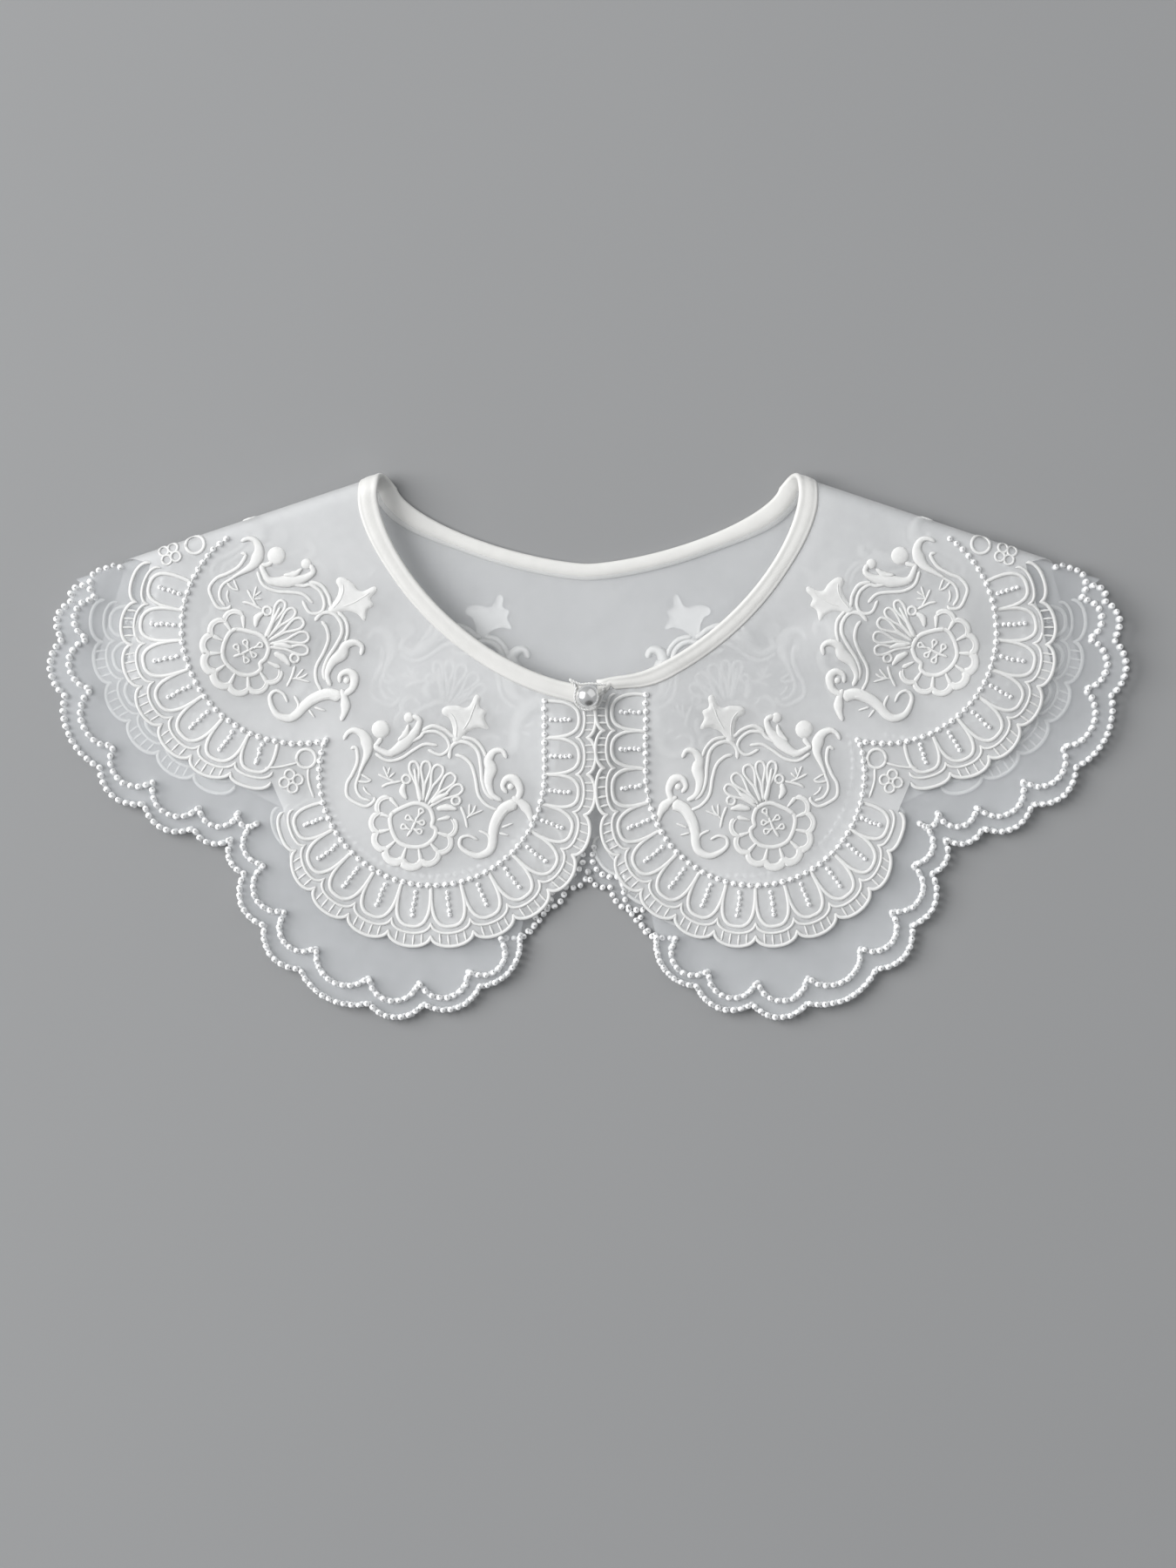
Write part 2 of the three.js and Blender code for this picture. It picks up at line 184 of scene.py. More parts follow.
def filled(outline: Array, cell: float) -> tuple[Array, list[list[int]]]:
    """Covers the inside of an outline with triangles, over an even lattice of points.

    Args:
        outline: plan points of a closed line that doesn't cross itself.
        cell: spacing of the lattice in millimetres.

    Returns:
        Plan points and triangles.
    """
    row_share, edge_room = 0.87, 0.45
    low, high = outline.min(0), outline.max(0)
    columns, rows = np.arange(low[0], high[0], cell), np.arange(low[1], high[1], cell * row_share)
    lattice = np.stack(np.meshgrid(columns, rows), -1)
    lattice[1::2, :, 0] += cell / 2
    lattice = lattice.reshape(-1, 2)
    inside = np.zeros(len(lattice), dtype=bool)
    for a, b in zip(outline, np.roll(outline, -1, 0)):
        if a[1] != b[1]:
            spans = (a[1] > lattice[:, 1]) != (b[1] > lattice[:, 1])
            inside ^= spans & (lattice[:, 0] < a[0] + (b[0] - a[0]) * (lattice[:, 1] - a[1]) / (b[1] - a[1]))
    lattice = lattice[inside]
    lattice = lattice[edge_distance(lattice, outline) > cell * edge_room]
    corners = [Vector(point) for point in np.vstack([outline, lattice]).tolist()]
    count = len(outline)
    edges = [(index, (index + 1) % count) for index in range(count)]
    points, _, faces, *_ = delaunay_2d_cdt(corners, edges, [list(range(count))], 1, 1e-5)
    return np.array([tuple(point) for point in points]), faces


# The folded collar


@dataclass(frozen=True)
class CollarPlan:
    """The collar's driving sizes in millimetres, drawn with Y = 0 at the neck corners.

    Points are given on one half, with X away from the middle, and heights count outwards from the
    cloth face that the neck touches.
    """

    neck_half_width: float = 76.0
    front_neck_drop: float = 69.5
    front_neck_power: float = 1.62
    back_neck_drop: float = 27.4
    back_neck_power: float = 1.5
    neck_turn: float = 7.0
    shoulder_slope: float = math.radians(17.4)
    half_width: float = 190.2
    drop: float = 185.0
    fold_tip_across: float = 0.976
    stack: float = 2.5
    neck_hollow: float = 6.5
    hem_hollow: float = 0.5
    corner_hollow: float = 9.0
    tip_hollow: float = 5.0
    fold_blend: float = 80.0
    loft_reach: float = 1.35
    cloth_fold_end: float = 111.8
    upper_fold_ends: Pair = (86.0, 97.0)
    centre_skew: float = 2.8
    skew_reach: float = 50.0
    centre_shift: float = 90.9
    wrinkle_height: float = 1.3
    wrinkle_reach: float = 30.0
    calm_rooms: Pair = (4.2, 5.9)
    # Each wave: its height, its lengths along X and Y over a whole turn, and its phase
    waves: tuple[tuple[float, float, float, float], ...] = (
        (0.40, 9.1, 23, 0.7), (0.34, 17, -7.7, 2.1), (0.26, 6.3, 11.9, 4.0), (0.30, 31, 14.3, 1.3),
    )

    @property
    def along_fold(self) -> Array:
        """Direction from the neck corner to the shoulder tip."""
        return np.array([math.cos(self.shoulder_slope), -math.sin(self.shoulder_slope)])

    @property
    def out_of_fold(self) -> Array:
        """Direction square to the fold, away from the collar."""
        return np.array([math.sin(self.shoulder_slope), math.cos(self.shoulder_slope)])

    @property
    def shoulder_length(self) -> float:
        """Length of the fold from the neck corner to its tip."""
        return (self.fold_tip_across * self.half_width - self.neck_half_width) / self.along_fold[0]

    @property
    def shares(self) -> Array:
        """Millimetres to one share of the half width and of the drop."""
        return np.array([self.half_width, -self.drop])

    def on_fold(self, along: Amount, out: Amount = 0.0) -> Array:
        """A place given by its distances along and out of the fold."""
        along, out = np.asarray(along, float)[..., None], np.asarray(out, float)[..., None]
        return np.array([self.neck_half_width, 0.0]) + along * self.along_fold + out * self.out_of_fold

    def fold_place(self, points: Array) -> tuple[Array, Array]:
        """Distances along the fold and inside it."""
        from_corner = points - np.array([self.neck_half_width, 0.0])
        return from_corner @ self.along_fold, -(from_corner @ self.out_of_fold)

    def fold_hollow(self, along: Array) -> Array:
        """Room between the panels along the fold."""
        share = np.clip(along / self.shoulder_length, -0.2, 1.1)
        return self.corner_hollow + (self.tip_hollow - self.corner_hollow) * share

    def hollow(self, points: Array) -> Array:
        """Room between the panels, which is most at the neck and least at the hem.

        Args:
            points: plan points in millimetres, shape (..., 2).

        Returns:
            Heights in millimetres.
        """
        across = np.abs(points[..., 0]) / self.neck_half_width
        down = np.maximum(0, -points[..., 1]) / self.front_neck_drop
        power = self.front_neck_power
        ring = (across**power + down**power) ** (1 / power)
        away = np.clip((ring - 1) / self.loft_reach, 0, 1)
        open_room = self.hem_hollow + (self.neck_hollow - self.hem_hollow) * (1 - away) ** 2
        along, inside = self.fold_place(points)
        folded = 1 - smooth(inside, 0, self.fold_blend)
        return open_room + (self.fold_hollow(along) - open_room) * folded

    def wrinkle(self, points: Array, side: Side) -> Array:
        """Gentle waves that both layers of a front panel share.

        Args:
            points: plan points in millimetres, shape (..., 2).
            side: which half of the collar.

        Returns:
            Heights in millimetres, none at the fold and next to the neck corner.
        """
        x, y = points[..., 0] * side.value, points[..., 1]
        waves = sum(height * np.sin(x / across + y / up + phase) for height, across, up, phase in self.waves)
        _, inside = self.fold_place(points)
        room = self.hollow(points) - self.hem_hollow
        calm = 1 - smooth(room, *self.calm_rooms)
        return self.wrinkle_height * waves * smooth(inside, 0, self.wrinkle_reach) * (0.5 + 0.3 * room) * calm

    def seat(
        self, points: Array, level: Amount, panel: Panel, side: Side, skewed: bool = False, lift: Amount = 0.0
    ) -> Array:
        """Puts half-plan points on a panel, wrapping what passes the fold round it.

        Args:
            points: plan points in millimetres, shape (..., 2).
            level: height above the cloth face that the neck touches.
            panel: the front or the back panel.
            side: which half of the collar.
            skewed: whether the front's small sideways shift at the middle is added.
            lift: further height, straight up.

        Returns:
            Points in metres in the frame of the CAD model, shape (..., 3).
        """
        points = np.asarray(points, float)
        level = np.broadcast_to(np.asarray(level, float), points.shape[:-1])
        along, inside = self.fold_place(points)
        half = self.fold_hollow(along) / 2
        radius = half + level
        out = np.maximum(-inside, 0)
        lean = np.arcsin(np.clip(out / radius, 0, 1)) + np.maximum(out - radius, 0) / radius
        turn = lean if panel is Panel.FRONT else np.pi - lean
        if panel is Panel.FRONT:
            flat_z = self.stack + self.hollow(points) + level + self.wrinkle(points, side)
        else:
            flat_z = self.stack - level
        wrapped = inside < 0
        plan = np.where(wrapped[..., None], self.on_fold(along, radius * np.sin(turn)), points)
        z = np.where(wrapped, self.stack + half + radius * np.cos(turn), flat_z) + lift
        return self.place(plan, z, side, panel is Panel.FRONT and skewed)

    def place(self, plan: Array, z: Amount, side: Side, skewed: bool) -> Array:
        """Mirrors, skews and shifts plan points.

        Args:
            plan: plan points in millimetres, shape (..., 2).
            z: their heights.
            side: which half of the collar.
            skewed: whether the small sideways shift at the middle is added.

        Returns:
            Points in metres in the frame of the CAD model, shape (..., 3).
        """
        x = plan[..., 0] * side.value
        if skewed:
            _, inside = self.fold_place(plan)
            x = x + self.centre_skew * (1 - plan[..., 0] / self.half_width) * smooth(inside, 0, self.skew_reach)
        return np.stack([x, plan[..., 1] + self.centre_shift, np.broadcast_to(z, x.shape)], -1) * MM

    def round_fold(self, along: Array, turn: float, level: float, side: Side) -> Array:
        """Points where the cloth turns round the fold.

        Args:
            along: distances along the fold in millimetres.
            turn: angle round the fold, from 0 on top to pi below.
            level: height above the cloth face that the neck touches.
            side: which half of the collar.

        Returns:
            Points in metres in the frame of the CAD model.
        """
        half = self.fold_hollow(along) / 2
        radius = half + level
        plan = self.on_fold(along, radius * math.sin(turn))
        return self.place(plan, self.stack + half + radius * math.cos(turn), side, False)


PLAN = CollarPlan()


class NeckLine:
    """One half of the front or back neckline, a quarter of a superellipse."""

    STEP = 0.8
    BLEND_FROM = 0.86

    def __init__(self, panel: Panel) -> None:
        """Draws the line from the middle out to the fold.

        Args:
            panel: front or back.
        """
        angle = np.linspace(0, math.pi / 2, 400)
        if panel is Panel.FRONT:
            corner, drop, power = PLAN.on_fold(0), PLAN.front_neck_drop, PLAN.front_neck_power
        else:
            corner, drop, power = PLAN.on_fold(-PLAN.neck_turn), PLAN.back_neck_drop, PLAN.back_neck_power
        across = corner[0] * np.sin(angle) ** (2 / power)
        down = drop * np.abs(np.cos(angle)) ** (2 / power)
        self.points = np.stack([across, corner[1] - down], -1)
        self.sums = reaches(self.points)
        self.length = float(self.sums[-1])

    def at(self, share: Amount, aside: Amount = 0.0) -> Array:
        """Finds places by the line, on its extension too where a share is negative.

        Args:
            share: shares of the line's length, from the middle.
            aside: distances away from the neck, in millimetres.

        Returns:
            Plan points; near the fold, aside runs along it.
        """
        reach = np.asarray(share, float) * self.length
        here, ahead, behind = (points_at(reach + step, self.sums, self.points) for step in (0, self.STEP, -self.STEP))
        way = unit(ahead - behind)
        here = here + np.minimum(reach, 0)[..., None] * way
        outward = -left_of(way)
        outward = outward + (PLAN.along_fold - outward) * smooth(share, self.BLEND_FROM, 1.0)[..., None]
        # Known fault: a STEP or more before the line's start there is no direction, so no place either.
        outward = outward / np.linalg.norm(outward, axis=-1, keepdims=True)
        return here + outward * np.asarray(aside, float)[..., None]


FRONT_NECK = NeckLine(Panel.FRONT)
BACK_NECK = NeckLine(Panel.BACK)


# Mesh making


def grid_quads(index: Array) -> Array:
    """Quads between the rows and columns of a grid of point numbers."""
    return np.stack([index[:-1, :-1], index[:-1, 1:], index[1:, 1:], index[1:, :-1]], -1).reshape(-1, 4)


def stitch_uv(along: Array, across: Array) -> Array:
    """UV of a stroke's grid: millimetres along it and the place across it."""
    return np.stack(np.broadcast_arrays(along[:, None], across[None, :]), -1)


def link(name: str, data: bpy.types.ID) -> Piece:
    """Makes an object of the data and puts it in the scene."""
    added = bpy.data.objects.new(name, data)
    bpy.context.scene.collection.objects.link(added)
    return added


class MeshMaker:
    """Gathers many small surfaces into one mesh."""

    WELD = 0.02 * MM

    def __init__(self) -> None:
        """Starts empty."""
        self.points: list[Array] = []
        self.quads: list[Array] = []
        self.uvs: list[Array] = []
        self.count = 0

    def add(self, points: Array, uv: Array, quads: Array) -> None:
        """Adds a surface.

        Args:
            points: in metres.
            uv: the UV of each point.
            quads: they count the surface's own points from 0.
        """
        self.points.append(points.reshape(-1, 3))
        self.uvs.append(uv.reshape(-1, 2))
        self.quads.append(quads + self.count)
        self.count += len(self.points[-1])

    def grid(self, points: Array, uv: Array, close_across: bool = False, close_along: bool = False) -> None:
        """Adds a grid of points.

        Args:
            points: shape (rows, columns, 3), in metres.
            uv: shape (rows, columns, 2).
            close_across: whether the last column joins the first.
            close_along: whether the last row joins the first.
        """
        rows, columns = points.shape[:2]
        index = np.arange(rows * columns).reshape(rows, columns)
        if close_across:
            index = np.hstack([index, index[:, :1]])
        if close_along:
            index = np.vstack([index, index[:1]])
        self.add(points, uv, grid_quads(index))

    def triangles(self, points: Array, uv: Array, faces: list[list[int]]) -> None:
        """Adds a surface of triangles."""
        index = np.array(faces)
        self.add(points, uv, np.hstack([index, index[:, 2:]]))

    def copies(self, template: Array, quads: Array, centres: Array, turns: Array) -> None:
        """Adds a small closed form many times.

        Args:
            template: the form's points.
            quads: the form's quads.
            centres: where each copy stands, in metres.
            turns: a matrix for each copy, which turns and scales it.
        """
        many = np.einsum("nij,mj->nmi", turns, template) + centres[:, None, :]
        index = quads[None] + (np.arange(len(centres)) * len(template))[:, None, None]
        self.add(many, np.zeros((*many.shape[:2], 2)), index.reshape(-1, 4))

    def build(self, name: str, material: Material, slot: str, replaced: str = "", weld: bool = False) -> Piece:
        """Makes the Blender object, smooth shaded, with its material.

        Args:
            name: the piece's name.
            material: its finish.
            slot: not used.
            replaced: the CAD node that it stands for, if it does.
            weld: whether points in the same place are joined.

        Returns:
            The piece, riding on the collar's body.
        """
        faces = [tuple(dict.fromkeys(quad)) for quad in np.vstack(self.quads).tolist()]
        mesh = bpy.data.meshes.new(name)
        mesh.from_pydata(np.vstack(self.points).tolist(), [], faces)
        layer = mesh.uv_layers.new(name="stitch")
        loops = np.empty(len(mesh.loops), dtype=np.int32)
        mesh.loops.foreach_get("vertex_index", loops)
        layer.data.foreach_set("uv", np.vstack(self.uvs)[loops].astype(np.float32).ravel())
        mesh.polygons.foreach_set("use_smooth", np.ones(len(mesh.polygons), dtype=bool))
        mesh.materials.append(material)
        if weld:
            work = bmesh.new()
            work.from_mesh(mesh)
            bmesh.ops.remove_doubles(work, verts=work.verts, dist=self.WELD)
            bmesh.ops.recalc_face_normals(work, faces=work.faces)
            work.to_mesh(mesh)
            work.free()
        mesh.update()
        piece = link(name, mesh)
        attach(piece, "root")
        if replaced:
            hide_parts(replaced)
        log.info("%s: %d faces", name, len(faces))
        return piece


def seed_form(sides: int = 10, rings: int = 6) -> tuple[Array, Array]:
    """Makes a unit ball whose poles are small rings, for beads.

    Args:
        sides: points round it.
        rings: rings from pole to pole.

    Returns:
        Points and quads.
    """
    polar = np.linspace(0.18, math.pi - 0.18, rings)
    flat = np.sin(polar)[:, None, None] * circle(sides)
    points = np.concatenate([flat, np.repeat(np.cos(polar)[:, None, None], sides, 1)], -1).reshape(-1, 3)
    index = np.arange(rings * sides).reshape(rings, sides)
    caps = []
    for ring in (index[0], index[-1]):
        for step in range(1, sides // 2):
            caps.append([ring[step - 1], ring[step], ring[-step - 1], ring[-step]])
    return points, np.vstack([grid_quads(np.hstack([index, index[:, :1]])), np.array(caps)])


BEAD_POINTS, BEAD_QUADS = seed_form()
# Section of a domed stroke: places across it, as shares of its half width, and shares of its height
DOME_OFFSETS = np.array([-1.0, -0.86, -0.45, 0.0, 0.45, 0.86, 1.0, 0.0])
DOME_HEIGHTS = np.array([-0.1, 0.5, 0.93, 1.0, 0.93, 0.5, -0.1, -0.55])
STROKE_END = 0.35


@dataclass(frozen=True)
class Ground:
    """Where stitching lies: a panel, a half, the height of the cloth under it, and the front's skew.

    Where the fronts meet, overlap lifts the stitches in millimetres, and slide moves them across.
    """

    panel: Panel
    side: Side
    level: float
    skewed: bool = False
    overlap: float = 0.0
    slide: float = 0.0
    overlap_reach: Pair = (1.5, 16.0)
    slide_reach: Pair = (14.0, 30.0)
    slide_heights: Pair = (-118.0, -98.0)

    def seat(self, points: Array, height: Amount) -> Array:
        """Stands points above the cloth.

        Args:
            points: plan points on one half, in millimetres.
            height: how far they stand above the cloth.

        Returns:
            Points in metres in the frame of the CAD model.
        """
        x, y = points[..., 0], points[..., 1]
        if self.slide:
            y = y + self.slide * (1 - smooth(x, *self.slide_reach)) * smooth(y, *self.slide_heights)
        lift = self.overlap * (1 - smooth(x, *self.overlap_reach))
        moved = np.stack([x, y], -1)
        return PLAN.seat(moved, self.level + np.asarray(height, float), self.panel, self.side, self.skewed, lift)


def sew(
    maker: MeshMaker, ground: Ground, spine: Array, widths: Sequence[float], height: float, closed: bool = False
) -> None:
    """Lays one domed stroke of thread along a line.

    Args:
        maker: the mesh that the stroke joins.
        ground: the cloth that it lies on.
        spine: evenly spaced plan points on one half, in millimetres.
        widths: its width, or its widths at the start, perhaps in the middle, and at the end.
        height: how far it stands up.
        closed: whether the end joins the start.
    """
    if closed:
        way = np.roll(spine, -1, 0) - np.roll(spine, 1, 0)
    else:
        way = np.gradient(spine, axis=0)
    width = np.interp(smooth(np.linspace(0, 1, len(spine)), 0, 1), np.linspace(0, 1, len(widths)), widths)
    ends = np.ones(len(spine))
    if not closed:
        ends[0] = ends[-1] = STROKE_END
    aside = (width * ends / 2)[:, None] * DOME_OFFSETS
    points = spine[:, None, :] + left_of(unit(way))[:, None, :] * aside[..., None]
    rise = DOME_HEIGHTS * (height * (0.4 + 0.6 * ends))[:, None]
    uv = stitch_uv(reaches(spine), DOME_OFFSETS)
    maker.grid(ground.seat(points, rise), uv, close_across=True, close_along=closed)


def string_beads(maker: MeshMaker, ground: Ground, places: Array, radius: float, rng: np.random.Generator) -> None:
    """Sews one slightly uneven bead at each place.

    Args:
        maker: the mesh that the beads join.
        ground: the cloth that they lie on.
        places: plan points on one half, in millimetres.
        radius: of a bead, in millimetres.
        rng: gives each bead its stretch and turn.
    """
    rise, clear, flatness = 0.4, 1.05, 0.85
    centres = ground.seat(places, radius * rise)
    centres[:, 2] = np.maximum(centres[:, 2], radius * clear * MM)
    count = len(places)
    stretch = radius * MM * rng.uniform(0.9, 1.08, (count, 3)) * np.array([1.0, 1.0, flatness])
    spin, tilt = rng.uniform(0, 2 * math.pi, count), rng.uniform(-0.5, 0.5, count)
    cos, sin, none = np.cos(spin), np.sin(spin), np.zeros(count)
    rows = (
        (cos, -sin, none),
        (sin * np.cos(tilt), cos * np.cos(tilt), -np.sin(tilt)),
        (sin * np.sin(tilt), cos * np.sin(tilt), np.cos(tilt)),
    )
    turns = np.moveaxis(np.array(rows), -1, 0)
    maker.copies(BEAD_POINTS, BEAD_QUADS, centres, turns * stretch[:, None, :])


# Shader writing


class Number:
    """A number socket that adds Math nodes when it is used in an expression."""

    def __init__(self, shader: "Shader", socket: bpy.types.NodeSocket) -> None:
        """Wraps one socket."""
        self.shader = shader
        self.socket = socket

    def _with(self, operation: str, first: "Number | float", second: "Number | float") -> "Number":
        """Adds one Math node."""
        return self.shader.node("ShaderNodeMath", {"operation": operation}, {0: first, 1: second})

    def __add__(self, other: "Number | float") -> "Number":
        """self + other."""
        return self._with("ADD", self, other)

    __radd__ = __add__

    def __sub__(self, other: "Number | float") -> "Number":
        """self - other."""
        return self._with("SUBTRACT", self, other)

    def __rsub__(self, other: "Number | float") -> "Number":
        """other - self."""
        return self._with("SUBTRACT", other, self)

    def __mul__(self, other: "Number | float") -> "Number":
        """self * other."""
        return self._with("MULTIPLY", self, other)

    __rmul__ = __mul__

    def sine(self) -> "Number":
        """Sine of the value."""
        return self._with("SINE", self, 0.0)


class Shader:
    """Writes one material's nodes, or the world's."""

    def __init__(self, name: str, world: bool = False) -> None:
        """Starts a material with one Principled shader, or a world with its background.

        Args:
            name: the material's or the world's name.
            world: whether it is a world.
        """
        self.material = (bpy.data.worlds if world else bpy.data.materials).new(name)
        self.material.use_nodes = True
        self.tree = self.material.node_tree
        self.surface = next(n for n in self.tree.nodes if n.type == ("BACKGROUND" if world else "BSDF_PRINCIPLED"))

    def node(
        self, kind: str, settings: dict | None = None, inputs: dict | None = None, output: int | str = 0
    ) -> Number:
        """Adds any node.

        Args:
            kind: the node's type.
            settings: what is set on it first.
            inputs: values or links of its sockets, by name or number.
            output: the output that is returned.

        Returns:
            The chosen output.
        """
        added = self.tree.nodes.new(kind)
        for name, value in (settings or {}).items():
            setattr(added, name, value)
        for name, value in (inputs or {}).items():
            self.feed(added.inputs[name], value)
        return Number(self, added.outputs[output])

    def feed(self, socket: bpy.types.NodeSocket, value: object) -> None:
        """Fills an input.

        Args:
            socket: the input.
            value: a wrapped socket, which is linked to it, or a plain value.
        """
        if isinstance(value, Number):
            self.tree.links.new(value.socket, socket)
        else:
            socket.default_value = value

    def set(self, **inputs: object) -> None:
        """Sets the surface's sockets, named with underscores for spaces."""
        for name, value in inputs.items():
            self.feed(self.surface.inputs[name.replace("_", " ")], value)

    def place(self) -> Number:
        """Object coordinates, in metres."""
        return self.node("ShaderNodeTexCoord", output="Object")

    def parts(self, vector: Number) -> list[Number]:
        """The three numbers of a vector."""
        apart = self.node("ShaderNodeSeparateXYZ", inputs={0: vector})
        return [Number(self, output) for output in apart.socket.node.outputs]

    def stitch_lines(self) -> list[Number]:
        """Millimetres along a stroke of thread, and the share across it."""
        return self.parts(self.node("ShaderNodeUVMap", {"uv_map": "stitch"}, output="UV"))[:2]

    def noise(self, period: float, detail: float = 2.0) -> Number:
        """Soft noise from 0 to 1 with the given period in millimetres."""
        inputs = {"Vector": self.place(), "Scale": 1000 / period, "Detail": detail, "Roughness": 0.5}
        return self.node("ShaderNodeTexNoise", {"noise_dimensions": "3D"}, inputs)

    def blend(self, share: Number, first: Colour, second: Colour) -> Number:
        """Mixes two colours by a share."""
        inputs = {"Factor": share, 6: (*first, 1.0), 7: (*second, 1.0)}
        return self.node("ShaderNodeMix", {"data_type": "RGBA"}, inputs, output=2)

    def bump(self, height: Number, distance: float, strength: float) -> None:
        """Feeds the Normal from a height, whose 1 stands for a distance in millimetres."""
        inputs = {"Height": height, "Distance": distance * MM, "Strength": strength}
        self.set(Normal=self.node("ShaderNodeBump", inputs=inputs, output="Normal"))


@dataclass(frozen=True)
class OrganzaFinish:
    """Sheer woven organza: a fine open weave with a soft, slightly cool white."""

    name: str
    light: Colour
    deep: Colour
    cover: float
    thread_pitch: float = 0.36
    weave_depth: float = 0.10
    cloud_depth: float = 0.10
    slub_depth: float = 0.06
    mean_depth: float = 0.08

    def make(self) -> Material:
        """Builds the material.

        Returns:
            The material.
        """
        shader = Shader(self.name)
        x, y, _ = (axis * 1000 for axis in shader.parts(shader.place()))
        step = 2 * math.pi / self.thread_pitch
        weave = (x * step).sine() * (y * step).sine()
        cloud, slub = shader.noise(38, 3), shader.noise(4.5)
        alpha = weave * self.weave_depth + cloud * self.cloud_depth + slub * self.slub_depth
        shader.set(Base_Color=shader.blend(cloud, self.deep, self.light), Alpha=alpha + (self.cover - self.mean_depth))
        shader.set(Roughness=0.62, Sheen_Weight=0.25, Sheen_Roughness=0.4, Specular_IOR_Level=0.3)
        shader.bump(weave * 0.5 + slub * 2.0 + shader.noise(46, 0.6) * 34 + shader.noise(17, 0.5) * 5, 0.10, 0.35)
        return shader.material


@dataclass(frozen=True)
class ThreadFinish:
    """White embroidery thread in close satin stitches across each stroke."""

    name: str = "thread"
    light: Colour = (0.83, 0.83, 0.82)
    deep: Colour = (0.73, 0.73, 0.72)
    stitch_pitch: float = 0.34
    roughness: float = 0.42

    def make(self) -> Material:
        """Builds the material.

        Returns:
            The material.
        """
        shader = Shader(self.name)
        along, across = shader.stitch_lines()
        fray = shader.noise(1.3)
        stitches = (along * (2 * math.pi / self.stitch_pitch) + across * 1.2 + fray * 2.0).sine()
        colour = shader.blend(stitches * 0.3 + fray * 0.7, self.deep, self.light)
        shader.set(Base_Color=colour, Roughness=self.roughness + 0.2 * fray, Sheen_Weight=0.3, Sheen_Roughness=0.3)
        shader.bump(stitches * 0.5 + fray * 0.8, 0.09, 0.7)
        return shader.material


@dataclass(frozen=True)
class BeadFinish:
    """Small glossy white seed beads with a little unevenness."""

    name: str = "seed_beads"
    light: Colour = (0.97, 0.975, 0.98)
    deep: Colour = (0.91, 0.915, 0.92)
    roughness: float = 0.3
    glow_depth: float = 0.8 * MM

    def make(self) -> Material:
        """Builds the material, whose equal radii keep the glow white.

        Returns:
            The material.
        """
        shader = Shader(self.name)
        cloud, grain = shader.noise(5.0), shader.noise(0.7)
        shader.set(Base_Color=shader.blend(cloud, self.deep, self.light), Roughness=self.roughness + 0.2 * grain)
        shader.set(Coat_Weight=0.3, Coat_Roughness=0.15)
        shader.set(Subsurface_Weight=0.4, Subsurface_Scale=self.glow_depth, Subsurface_Radius=(1.0, 1.0, 1.0))
        shader.bump(grain, 0.08, 0.5)
        return shader.material


@dataclass(frozen=True)
class SatinFinish:
    """Ivory satin cut on the bias, with fine slanting ribs and a soft sheen."""

    name: str = "satin"
    light: Colour = (0.76, 0.755, 0.735)
    deep: Colour = (0.69, 0.685, 0.665)
    rib_pitch: float = 0.42
    roughness: float = 0.34

    def make(self) -> Material:
        """Builds the material.

        Returns:
            The material.
        """
        shader = Shader(self.name)
        along, across = shader.stitch_lines()
        pull, fine = shader.noise(6.0, 3), shader.noise(0.9)
        ribs = ((along + across * 0.7) * (2 * math.pi / self.rib_pitch)).sine()
        shader.set(Base_Color=shader.blend(pull, self.deep, self.light), Roughness=self.roughness + 0.14 * fine)
        shader.set(Sheen_Weight=0.4, Sheen_Roughness=0.35, Specular_IOR_Level=0.5)
        shader.bump(ribs * 0.25 + pull * 2.4 + fine * 0.5, 0.12, 0.5)
        return shader.material


@dataclass(frozen=True)
class PearlFinish:
    """A glossy simulated pearl with a faint warm and cool play of colour."""

    name: str = "pearl"
    warm: Colour = (0.9, 0.89, 0.87)
    cool: Colour = (0.78, 0.79, 0.8)
    roughness: float = 0.17

    def make(self) -> Material:
        """Builds the material.

        Returns:
            The material.
        """
        shader = Shader(self.name)
        cloud = shader.noise(3.0)
        shader.set(Base_Color=shader.blend(cloud, self.warm, self.cool), Roughness=self.roughness + 0.05 * cloud)
        shader.set(Metallic=0.85, Coat_Weight=1.0, Coat_Roughness=0.04)
        return shader.material


@dataclass(frozen=True)
class FloorFinish:
    """Plain matt grey surface."""

    name: str = "floor"
    light: Colour = (0.302, 0.305, 0.309)
    deep: Colour = (0.29, 0.293, 0.297)

    def make(self) -> Material:
        """Builds the material.

        Returns:
            The material.
        """
        shader = Shader(self.name)
        shader.set(Base_Color=shader.blend(shader.noise(160), self.deep, self.light))
        shader.set(Roughness=0.9, Specular_IOR_Level=0.1)
        shader.bump(shader.noise(3.0), 0.03, 0.3)
        return shader.material


# Outlines of both layers


